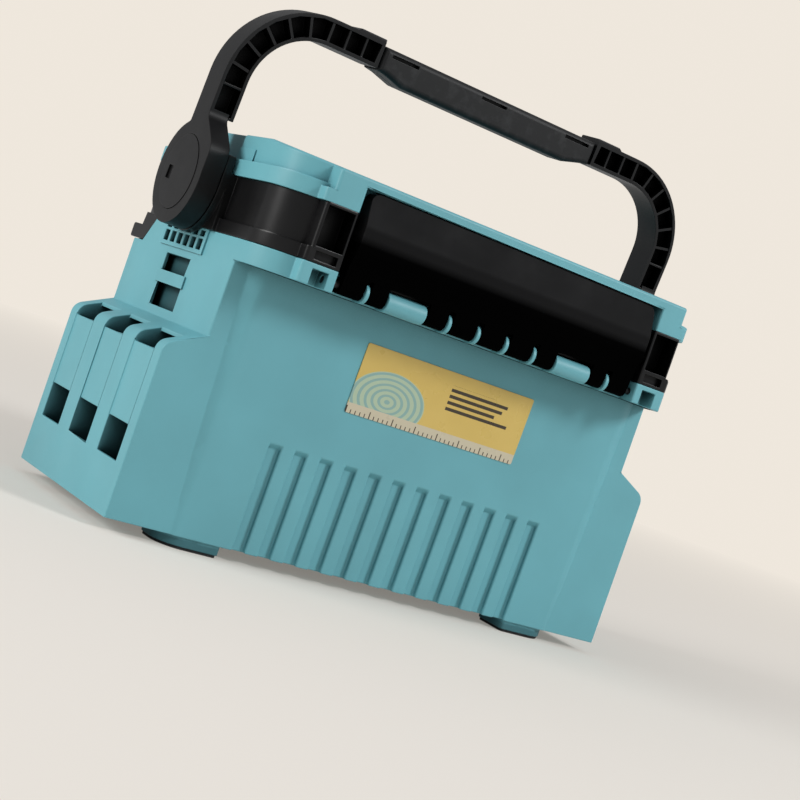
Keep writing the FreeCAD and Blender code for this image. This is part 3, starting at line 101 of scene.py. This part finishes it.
def noise(tree, where, scale, detail=2.0, roughness=0.5):
    values = {"Vector": where, "Scale": scale, "Detail": detail, "Roughness": roughness}
    return place(tree, "ShaderNodeTexNoise", values).outputs["Fac"]


surround = (0.86, 0.80, 0.72, 1.0)
floor_half = 30.0
floor_mesh = bpy.data.meshes.new("floor")
floor_mesh.from_pydata(
    [(-floor_half, -floor_half, 0), (floor_half, -floor_half, 0),
     (floor_half, floor_half, 0), (-floor_half, floor_half, 0)], [], [(0, 1, 2, 3)])
floor = bpy.data.objects.new("floor", floor_mesh)
bpy.context.collection.objects.link(floor)
floor_paint, tree, shader = begin_material("floor_paint")
where = object_place(tree)
fade_start = 0.35
fade_end = 2.6
least_fade = 0.25
shader.inputs["Base Color"].default_value = (0.78, 0.745, 0.70, 1.0)
shader.inputs["Roughness"].default_value = 0.9
shader.inputs["Specular IOR Level"].default_value = 0.1
distance = place(tree, "ShaderNodeVectorMath", {0: where}, operation="LENGTH").outputs["Value"]
far = spread(tree, distance, fade_start, fade_end, least_fade, 1.0)
rays = place(tree, "ShaderNodeLightPath")
seen = calc(tree, "MAXIMUM", rays.outputs["Is Camera Ray"], rays.outputs["Is Glossy Ray"])
reflected = (0.76, 0.76, 0.76, 1.0)
glow_colour = blend_colours(tree, rays.outputs["Is Camera Ray"], reflected, surround)
glow = place(tree, "ShaderNodeEmission", {"Color": glow_colour, "Strength": 1.0})
mixed = place(tree, "ShaderNodeMixShader", {
    0: calc(tree, "MULTIPLY", far, seen), 1: shader.outputs[0], 2: glow.outputs[0]})
tree.links.new(mixed.outputs[0], tree.nodes["Material Output"].inputs["Surface"])
floor_mesh.materials.append(floor_paint)

world = bpy.data.worlds.new("studio")
bpy.context.scene.world = world
world.use_nodes = True
tree = world.node_tree
soft_light = place(tree, "ShaderNodeBackground", {"Color": (0.985, 0.99, 1.0, 1.0),
                                                  "Strength": 0.42})
backdrop = place(tree, "ShaderNodeBackground", {"Color": surround, "Strength": 1.0})
rays = place(tree, "ShaderNodeLightPath")
mixed = place(tree, "ShaderNodeMixShader", {
    0: rays.outputs["Is Camera Ray"], 1: soft_light.outputs[0], 2: backdrop.outputs[0]})
tree.links.new(mixed.outputs[0], tree.nodes["World Output"].inputs["Surface"])


def soft_lamp(name, position, target, size, power, colour):
    data = bpy.data.lights.new(name, "AREA")
    data.shape = "DISK"
    data.size = size
    data.energy = power
    data.color = colour
    lamp = bpy.data.objects.new(name, data)
    lamp.location = position
    aim = Vector(target) - Vector(position)
    lamp.rotation_euler = aim.to_track_quat("-Z", "Y").to_euler()
    bpy.context.collection.objects.link(lamp)


box_middle = (0.0, 0.0, 0.15)
soft_lamp("side_lamp", (-2.5, 0.2, 1.2), box_middle, size=1.2, power=42.0,
          colour=(1.0, 0.99, 0.98))
soft_lamp("front_lamp", (1.6, -2.2, 1.9), box_middle, size=0.9, power=52.0,
          colour=(0.98, 0.99, 1.0))
bpy.context.scene.view_settings.view_transform = "Standard"


# The tub is one injection moulding in sea-green plastic. Its mould leaves a fine matt
# grain on the faces and a small round on the edges, which handling polishes a little.
def moulded_plastic(name, colour, roughness, edge_wear_and_highlight=1.18, grain=0.5, specular=0.5,
                    painted_recess_shade=0.08, painted_shade=None):
    """Plastic with a fine mould grain, edges lightened by wear and a painted highlight, and
    painted shade in deep recesses.
    """
    material, tree, shader = begin_material(name)
    where = object_place(tree)
    colour_sway = 0.05
    edge_lift = 0.006
    pale = [min(1.0, channel * (1 + colour_sway)) for channel in colour] + [1.0]
    deep = [channel * (1 - colour_sway) for channel in colour] + [1.0]
    # Painted highlight and wear: the edges are lightened towards this colour.
    worn_highlit_edge_colour = [min(1.0, channel * edge_wear_and_highlight + edge_lift) for channel in colour] + [1.0]
    clouds = spread(tree, noise(tree, where, 11.0, 4.0, 0.55), 0.35, 0.65)
    body = blend_colours(tree, clouds, deep, pale)
    normal = place(tree, "ShaderNodeNewGeometry").outputs["Normal"]
    rounded = place(tree, "ShaderNodeBevel", {"Radius": 0.0013}, samples=5).outputs["Normal"]
    turn = place(tree, "ShaderNodeVectorMath", {0: normal, 1: rounded},
                 operation="DOT_PRODUCT").outputs["Value"]
    edge_patches = spread(tree, noise(tree, where, 55.0, 3.0), 0.3, 0.7, 0.35, 1.0)
    edge = calc(tree, "MULTIPLY", spread(tree, turn, 0.99, 0.86), edge_patches)
    with_worn_highlit_edges = blend_colours(tree, edge, body, worn_highlit_edge_colour)
    # Painted shade: ambient occlusion darkens the colour and weakens the reflection in recesses.
    open_share = place(tree, "ShaderNodeAmbientOcclusion", {"Distance": 0.12}, samples=8,
                       only_local=True)
    painted_shade_factor = spread(tree, open_share.outputs["AO"], 0.2, 0.62, painted_recess_shade, 1.0)
    if painted_shade:
        painted_shade_factor = calc(tree, "MULTIPLY", painted_shade_factor, painted_shade(tree, where))
    black = (0.0, 0.0, 0.0, 1.0)
    tree.links.new(blend_colours(tree, painted_shade_factor, black, with_worn_highlit_edges), shader.inputs["Base Color"])
    # The plain value serves programs that leave the link out.
    shader.inputs["Specular IOR Level"].default_value = specular
    tree.links.new(calc(tree, "MULTIPLY", painted_shade_factor, specular),
                   shader.inputs["Specular IOR Level"])
    wiped = spread(tree, noise(tree, where, 26.0, 5.0, 0.6), 0.3, 0.7,
                   roughness - 0.05, roughness + 0.06)
    gloss = calc(tree, "SUBTRACT", wiped, calc(tree, "MULTIPLY", edge, 0.08))
    tree.links.new(gloss, shader.inputs["Roughness"])
    fine = noise(tree, where, 2400.0)
    coarse = noise(tree, where, 700.0)
    height = calc(tree, "ADD", fine, calc(tree, "MULTIPLY", coarse, 0.7))
    bump = place(tree, "ShaderNodeBump", {"Strength": grain, "Distance": 0.00003,
                                          "Height": height})
    tree.links.new(bump.outputs[0], shader.inputs["Normal"])
    return material


def wear_finish(node, material):
    """Gives a CAD node its material."""
    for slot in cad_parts[node].material_slots:
        slot.material = material


def has_room(edge, width, sharp):
    """True if the faces beside an edge are wide enough at both of its ends for a round.

    A side that runs nearly along the edge, or a slanting sharp one, takes the round on.
    """
    needed = 2.1 * width
    slant = 0.7
    in_line = 0.02
    along = (edge.verts[1].co - edge.verts[0].co).normalized()
    for loop in edge.link_loops:
        for side in (loop.link_loop_prev.edge, loop.link_loop_next.edge):
            span = side.verts[1].co - side.verts[0].co
            across = (span - along * span.dot(along)).length
            goes_on = across < slant * span.length and side in sharp
            if across < needed and not goes_on and across > in_line * span.length:
                return False
    return True


def pull_in_strays(shape, surface, reach):
    """Joins each vertex that the rounding threw off the surface to its best neighbour."""
    def away(vert):
        return surface.find_nearest(vert.co)[3]

    strays = {vert: min((edge.other_vert(vert) for edge in vert.link_edges), key=away)
              for vert in shape.verts if away(vert) > reach}
    bmesh.ops.weld_verts(shape, targetmap=strays)


def rounded_copy(node, material, width, wider=None):
    """A CAD node's mesh with its seams closed and a small round on its edges.

    Edges for which wider(edge) holds get a round of twice the width. An edge's weight is
    its share of that double width.
    """
    seam_gap = 2e-6
    flat_turn = math.radians(0.4)
    sharp_turn = math.radians(28)
    crease_turn = math.radians(38)
    double_width = 2 * width
    shape = bmesh.new()
    shape.from_mesh(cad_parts[node].data)
    bmesh.ops.remove_doubles(shape, verts=shape.verts, dist=seam_gap)
    bmesh.ops.dissolve_limit(shape, angle_limit=flat_turn, verts=shape.verts,
                             edges=shape.edges, delimit={"NORMAL"})
    surface = BVHTree.FromBMesh(shape)
    weight = shape.edges.layers.float.new("bevel_weight_edge")
    sharp = {edge for edge in shape.edges
             if len(edge.link_faces) == 2 and edge.calc_face_angle(0.0) > sharp_turn}
    for edge in sharp:
        if wider and wider(edge) and has_room(edge, double_width, sharp):
            edge[weight] = 1.0
        elif has_room(edge, width, sharp):
            edge[weight] = 0.5
    mesh = bpy.data.meshes.new(node + "_sharp")
    shape.to_mesh(mesh)
    shape.free()
    piece = bpy.data.objects.new(node + "_rounded", mesh)
    bpy.context.collection.objects.link(piece)
    bevel = piece.modifiers.new("edge_rounds", "BEVEL")
    bevel.limit_method = "WEIGHT"
    bevel.offset_type = "OFFSET"
    bevel.width = double_width
    bevel.segments = 3 if wider else 2
    bevel.profile = 0.6
    bevel.use_clamp_overlap = False
    graph = bpy.context.evaluated_depsgraph_get()
    mesh = bpy.data.meshes.new_from_object(piece.evaluated_get(graph))
    piece.modifiers.remove(bevel)
    shape = bmesh.new()
    shape.from_mesh(mesh)
    widest = double_width if wider else width
    pull_in_strays(shape, surface, 1.05 * widest)
    bmesh.ops.triangulate(shape, faces=[face for face in shape.faces if len(face.verts) > 4])
    for face in shape.faces:
        face.smooth = True
    for edge in shape.edges:
        edge.smooth = edge.calc_face_angle(0.0) < crease_turn
    shape.to_mesh(mesh)
    shape.free()
    mesh.name = node + "_rounded"
    mesh.materials.append(material)
    piece.data = mesh
    weighted = piece.modifiers.new("even_shading", "WEIGHTED_NORMAL")
    weighted.keep_sharp = True
    return piece


def groove_edge(edge):
    """True for the long edges of the grooves in the front and the rear."""
    row_top = 0.095
    row_half_length = 0.13
    least_depth = 0.07
    start, end = (vert.co for vert in edge.verts)
    span = end - start
    in_row = max(start.z, end.z) < row_top and abs(start.x) < row_half_length
    outside = min(abs(start.y), abs(end.y)) > least_depth
    return in_row and outside and abs(span.x) < 0.2 * span.length


def tub_painted_shade(tree, where):
    """Full tone but for painted shade at the feet and the tub's lowest edge, and in the hollow
    behind the belt bars.
    """
    shade_full_below = 0.0085
    shade_gone_above = 0.0115
    hollow_inner = 0.1825
    hollow_outer = 0.1865
    hollow_middle = 0.012
    hollow_half_width = 0.09
    hollow_foot = 0.149
    parts = place(tree, "ShaderNodeSeparateXYZ", {0: where})
    # Painted shade: a noise makes its edge above the feet uneven.
    shade_edge_wobble = calc(tree, "MULTIPLY", noise(tree, where, 60.0, 4.0, 0.6), 0.004)
    foot_shade = spread(tree, calc(tree, "ADD", parts.outputs["Z"], shade_edge_wobble), shade_full_below, shade_gone_above,
                   0.42, 1.0)
    far_out = calc(tree, "ABSOLUTE", parts.outputs["X"])
    aside = calc(tree, "ABSOLUTE", calc(tree, "SUBTRACT", parts.outputs["Y"], hollow_middle))
    inside = calc(tree, "MULTIPLY", calc(tree, "LESS_THAN", far_out, hollow_outer),
                  calc(tree, "GREATER_THAN", far_out, hollow_inner))
    beside = calc(tree, "MULTIPLY", calc(tree, "LESS_THAN", aside, hollow_half_width),
                  calc(tree, "GREATER_THAN", parts.outputs["Z"], hollow_foot))
    shaded = spread(tree, calc(tree, "MULTIPLY", inside, beside), 0.0, 1.0, 1.0, 0.25)
    return calc(tree, "MULTIPLY", shaded, foot_shade)


sea_green = (0.138, 0.398, 0.455)
green_plastic = moulded_plastic("green_plastic", sea_green, 0.46, specular=0.42)
tub_plastic = moulded_plastic("tub_plastic", sea_green, 0.46, specular=0.42, painted_shade=tub_painted_shade)
tub = rounded_copy("tub", tub_plastic, 0.0008, groove_edge)
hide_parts("tub")
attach(tub, "box")


# The soles are cut from sheet rubber and glued under the feet. The ground presses grit
# into them, which dulls the rubber.
def rubber(name, colour, roughness, pitted):
    """Rubber with fine pits, so many to a metre, and dust in patches."""
    material, tree, shader = begin_material(name)
    where = object_place(tree)
    dusty = [channel * 2.2 + 0.01 for channel in colour] + [1.0]
    dust = spread(tree, noise(tree, where, 90.0, 6.0, 0.65), 0.5, 0.72)
    tree.links.new(blend_colours(tree, dust, list(colour) + [1.0], dusty),
                   shader.inputs["Base Color"])
    tree.links.new(spread(tree, dust, 0.0, 1.0, roughness, min(1.0, roughness + 0.15)),
                   shader.inputs["Roughness"])
    pits = place(tree, "ShaderNodeTexVoronoi", {"Vector": where, "Scale": pitted})
    bump = place(tree, "ShaderNodeBump", {"Strength": 0.35, "Distance": 0.00008,
                                          "Height": pits.outputs["Distance"]})
    tree.links.new(bump.outputs[0], shader.inputs["Normal"])
    shader.inputs["Specular IOR Level"].default_value = 0.3
    return material


sole_rubber = rubber("sole_rubber", (0.012, 0.012, 0.013), roughness=0.75, pitted=900.0)
for corner in ("front_left", "front_right", "rear_left", "rear_right"):
    sole = rounded_copy("foot_pad_" + corner, sole_rubber, 0.0004)
    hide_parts("foot_pad_" + corner)
    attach(sole, "box")


# The label is a printed plate of gloss plastic, stuck on the front wall. Its print is a
# plain one: ripples on ochre, a few bars, and a ruler along its foot.
label_low, label_high = (Vector(corner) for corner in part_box("label_plate"))
label_span = label_high - label_low
label_print, tree, shader = begin_material("label_print")
where = object_place(tree)
parts = place(tree, "ShaderNodeSeparateXYZ", {0: where})
across = spread(tree, parts.outputs["X"], label_low.x, label_high.x)
up = spread(tree, parts.outputs["Z"], label_low.z, label_high.z)


def between(value, low, high):
    over = calc(tree, "GREATER_THAN", value, low)
    under = calc(tree, "LESS_THAN", value, high)
    return calc(tree, "MULTIPLY", over, under)


def both(first, second):
    return calc(tree, "MULTIPLY", first, second)


def every(value, count, share):
    """True over the first share of each of so many equal steps."""
    step_share = calc(tree, "FRACT", calc(tree, "MULTIPLY", value, count))
    return calc(tree, "LESS_THAN", step_share, share)


def printed(under, mask, ink):
    """The print so far, with an ink over it where the mask is 1."""
    return blend_colours(tree, mask, under, ink)


pale_ochre = (0.68, 0.49, 0.14, 1)
deep_ochre = (0.60, 0.42, 0.10, 1)
pond_ink = (0.42, 0.53, 0.38, 1)
ring_ink = (0.25, 0.41, 0.38, 1)
bar_ink = (0.045, 0.032, 0.018, 1)
ruler_ink = (0.58, 0.52, 0.38, 1)
tick_ink = (0.06, 0.045, 0.03, 1)
print_colour = blend_colours(tree, noise(tree, where, 30.0, 3.0), deep_ochre, pale_ochre)

pond_across = 0.20
pond_up = 0.30
pond_height = 1.5
pond_radius = 0.62
rings_per_unit = 9.0
label_ratio = label_span.x / label_span.z
reach_x = calc(tree, "MULTIPLY", calc(tree, "SUBTRACT", across, pond_across), label_ratio)
reach_y = calc(tree, "MULTIPLY", calc(tree, "SUBTRACT", up, pond_up), pond_height)
reach = calc(tree, "SQRT", calc(tree, "ADD", both(reach_x, reach_x), both(reach_y, reach_y)))
pond = calc(tree, "LESS_THAN", reach, pond_radius)
print_colour = printed(print_colour, pond, pond_ink)
print_colour = printed(print_colour, both(pond, every(reach, rings_per_unit, 0.42)), ring_ink)

row_count = 11.0
rows_low = 0.455
rows_high = 0.82
row_start = 0.52
row_end = 0.84
row_sway = 0.07
row = calc(tree, "FLOOR", calc(tree, "MULTIPLY", up, row_count))
sway = calc(tree, "MULTIPLY", calc(tree, "SINE", calc(tree, "MULTIPLY", row, 2.7)), row_sway)
in_rows = both(every(up, row_count, 0.52), between(up, rows_low, rows_high))
bars = both(in_rows, between(across, row_start, calc(tree, "ADD", sway, row_end)))
print_colour = printed(print_colour, bars, bar_ink)

ruler_height = 0.145
tick_count = 38.0
short_tick = 0.055
long_tick = 0.1
print_colour = printed(print_colour, calc(tree, "LESS_THAN", up, ruler_height), ruler_ink)
short_ticks = both(every(across, tick_count, 0.2), calc(tree, "LESS_THAN", up, short_tick))
long_ticks = both(every(across, tick_count / 5, 0.045), calc(tree, "LESS_THAN", up, long_tick))
print_colour = printed(print_colour, calc(tree, "MAXIMUM", short_ticks, long_ticks), tick_ink)
tree.links.new(print_colour, shader.inputs["Base Color"])
tree.links.new(spread(tree, noise(tree, where, 45.0, 4.0), 0.3, 0.7, 0.24, 0.36),
               shader.inputs["Roughness"])
press = place(tree, "ShaderNodeBump", {"Strength": 0.12, "Distance": 0.0001,
                                       "Height": noise(tree, where, 160.0)})
tree.links.new(press.outputs[0], shader.inputs["Normal"])
label = rounded_copy("label_plate", label_print, 0.0002)
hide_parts("label_plate")
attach(label, "box")


# The tray lifts out and is moulded in pale grey plastic. Its dividers are cut from the
# same sheet and slide between guides.
tray_plastic = moulded_plastic("tray_plastic", (0.50, 0.55, 0.55), roughness=0.4,
                               edge_wear_and_highlight=1.1, grain=0.3)
tray = rounded_copy("inner_tray", tray_plastic, 0.0005)
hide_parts("inner_tray")
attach(tray, "box")
divider_plastic = moulded_plastic("divider_plastic", (0.60, 0.64, 0.64), roughness=0.35,
                                  edge_wear_and_highlight=1.1, grain=0.2)
wear_finish("tray_dividers", divider_plastic)


# The rods, pins, washers and screws are drawn steel, zinc plated but for the blackened
# rod of the latch. Fine lines run along them from the drawing.
def drawn_steel(name, stretch, colour, roughness):
    material, tree, shader = begin_material(name)
    where = object_place(tree)
    lines = place(tree, "ShaderNodeMapping", {"Vector": where, "Scale": stretch}).outputs[0]
    streak = noise(tree, lines, 300.0, 3.0)
    low = [channel * 0.88 for channel in colour] + [1.0]
    high = [channel * 1.12 for channel in colour] + [1.0]
    dull = [channel * 0.55 for channel in colour] + [1.0]
    stain = spread(tree, noise(tree, where, 70.0, 5.0, 0.6), 0.55, 0.75)
    tree.links.new(blend_colours(tree, stain, blend_colours(tree, streak, low, high), dull),
                   shader.inputs["Base Color"])
    tree.links.new(spread(tree, streak, 0.2, 0.8, roughness - 0.06, roughness + 0.1),
                   shader.inputs["Roughness"])
    shader.inputs["Metallic"].default_value = 1.0
    bump = place(tree, "ShaderNodeBump", {"Strength": 0.3, "Distance": 0.00002,
                                          "Height": streak})
    tree.links.new(bump.outputs[0], shader.inputs["Normal"])
    return material


zinc = (0.57, 0.57, 0.58)
along_rod = (0.05, 1.0, 1.0)
along_screw = (1.0, 1.0, 0.2)
rod_steel = drawn_steel("rod_steel", along_rod, zinc, 0.34)
black_steel = drawn_steel("black_steel", along_rod, (0.05, 0.05, 0.052), 0.5)
screw_steel = drawn_steel("screw_steel", along_screw, zinc, 0.34)
for node in ("hinge_rod", "handle_pin_left", "handle_pin_right", "pin_washer_left",
             "pin_washer_right"):
    wear_finish(node, rod_steel)
wear_finish("latch_rod", black_steel)
wear_finish("lid_screws", screw_steel)


# The front latch is a stiff black moulding with ribs behind it. Painted shade darkens its
# hollow lower face and takes away most of its reflection.
def latch_painted_shade(tree, where):
    """Full tone on the upper face and painted shade on the lower face."""
    lower_face_top = 0.240
    upper_face_foot = 0.246
    height = place(tree, "ShaderNodeSeparateXYZ", {0: where}).outputs["Z"]
    return spread(tree, height, lower_face_top, upper_face_foot, 0.08, 1.0)


latch_plastic = moulded_plastic("latch_plastic", (0.0060, 0.0060, 0.0064), roughness=0.55,
                                edge_wear_and_highlight=1.6, grain=0.35, specular=0.06, painted_shade=latch_painted_shade)
latch = rounded_copy("front_latch", latch_plastic, 0.0006)
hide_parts("front_latch")
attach(latch, "latch")


# The lid frame is the black ring under the cover, moulded in one with the handle's bosses.
# The rubber seal is pressed into a groove in its underside.
# Wear and a painted highlight lighten its edges.
black_plastic = moulded_plastic("black_plastic", (0.0038, 0.0038, 0.0042), roughness=0.34,
                                edge_wear_and_highlight=1.7, grain=0.3, specular=0.28)
ring = rounded_copy("lid_frame", black_plastic, 0.0007)
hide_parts("lid_frame")
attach(ring, "lid")
seal_rubber = rubber("seal_rubber", (0.02, 0.02, 0.021), roughness=0.6, pitted=1500.0)
wear_finish("lid_seal", seal_rubber)


# The cover is screwed on the frame from below and is the seat. It is moulded in the same
# plastic as the tub. Small studs between its ridges keep a sitter from slipping.
cover = rounded_copy("lid_cover", green_plastic, 0.0009)
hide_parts("lid_cover")
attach(cover, "lid")


def build_stud_group():
    """Rows of small studs on a level panel, each a little different in height."""
    group = bpy.data.node_groups.new("stud_rows", "GeometryNodeTree")
    face = group.interface
    face.new_socket("Geometry", in_out="OUTPUT", socket_type="NodeSocketGeometry")
    wanted = (("Length", "Float"), ("Depth", "Float"), ("Columns", "Int"), ("Rows", "Int"),
              ("Stud radius", "Float"), ("Stud height", "Float"), ("Seed", "Int"),
              ("Material", "Material"))
    for name, kind in wanted:
        face.new_socket(name, in_out="INPUT", socket_type="NodeSocket" + kind)
    given = group.nodes.new("NodeGroupInput").outputs
    top = calc(group, "MULTIPLY", given["Stud radius"], 0.6)
    points = place(group, "GeometryNodeMeshGrid", {
        "Size X": given["Length"], "Size Y": given["Depth"],
        "Vertices X": given["Columns"], "Vertices Y": given["Rows"]})
    stud = place(group, "GeometryNodeMeshCone", {
        "Vertices": 12, "Radius Top": top, "Radius Bottom": given["Stud radius"],
        "Depth": given["Stud height"]}, fill_type="NGON")
    height = place(group, "FunctionNodeRandomValue", {
        "Min": (1.0, 1.0, 0.85), "Max": (1.0, 1.0, 1.0), "Seed": given["Seed"]},
        data_type="FLOAT_VECTOR")
    studs = place(group, "GeometryNodeInstanceOnPoints", {
        "Points": points.outputs["Mesh"], "Instance": stud.outputs["Mesh"],
        "Scale": height.outputs["Value"]})
    real = place(group, "GeometryNodeRealizeInstances", {"Geometry": studs.outputs[0]})
    painted = place(group, "GeometryNodeSetMaterial", {
        "Geometry": real.outputs[0], "Material": given["Material"]})
    end = group.nodes.new("NodeGroupOutput")
    group.links.new(painted.outputs[0], end.inputs[0])
    return group


def grown(name, group, values, position):
    """A finished mesh made by a node group, moved so that its object stays unmoved."""
    seed_mesh = bpy.data.meshes.new(name + "_seed")
    seed = bpy.data.objects.new(name + "_seed", seed_mesh)
    bpy.context.collection.objects.link(seed)
    maker = seed.modifiers.new("maker", "NODES")
    maker.node_group = group
    for item in group.interface.items_tree:
        if item.in_out == "INPUT" and item.name in values:
            maker[item.identifier] = values[item.name]
    graph = bpy.context.evaluated_depsgraph_get()
    mesh = bpy.data.meshes.new_from_object(seed.evaluated_get(graph))
    seed.modifiers.remove(maker)
    bpy.data.objects.remove(seed)
    for vert in mesh.vertices:
        vert.co += Vector(position)
    mesh.name = name
    piece = bpy.data.objects.new(name, mesh)
    bpy.context.collection.objects.link(piece)
    return piece


panel_top = 0.2888
stud_sink = 0.0002
stud_sizes = {
    "Length": 0.27, "Depth": 0.0972, "Columns": 40, "Rows": 10, "Stud radius": 0.0012,
    "Stud height": 0.0008, "Seed": 7, "Material": green_plastic}
studs = grown("seat_studs", build_stud_group(), stud_sizes, (0.0, 0.004, panel_top - stud_sink))
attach(studs, "lid")


# The handle is a ribbed black bow on two hub discs, with a cap in each disc. Wear and a
# painted highlight lighten its edges to grey.
handle_plastic = moulded_plastic("handle_plastic", (0.0058, 0.0058, 0.0063), roughness=0.42,
                                 edge_wear_and_highlight=1.6, grain=0.4, specular=0.24)
bow = rounded_copy("handle_bow", handle_plastic, 0.0006)
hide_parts("handle_bow")
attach(bow, "handle")
for side in ("left", "right"):
    cap = rounded_copy("hub_cap_" + side, handle_plastic, 0.0004)
    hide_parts("hub_cap_" + side)
    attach(cap, "handle")


# The grip is two half shells in softer black plastic, clipped round the bow. Fine pits
# in the skin keep a wet hand from slipping.
grip_skin = rubber("grip_skin", (0.0075, 0.0075, 0.008), roughness=0.5, pitted=2200.0)
for half in ("front", "rear"):
    shell = rounded_copy("grip_" + half, grip_skin, 0.0005)
    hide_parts("grip_" + half)
    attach(shell, "handle")
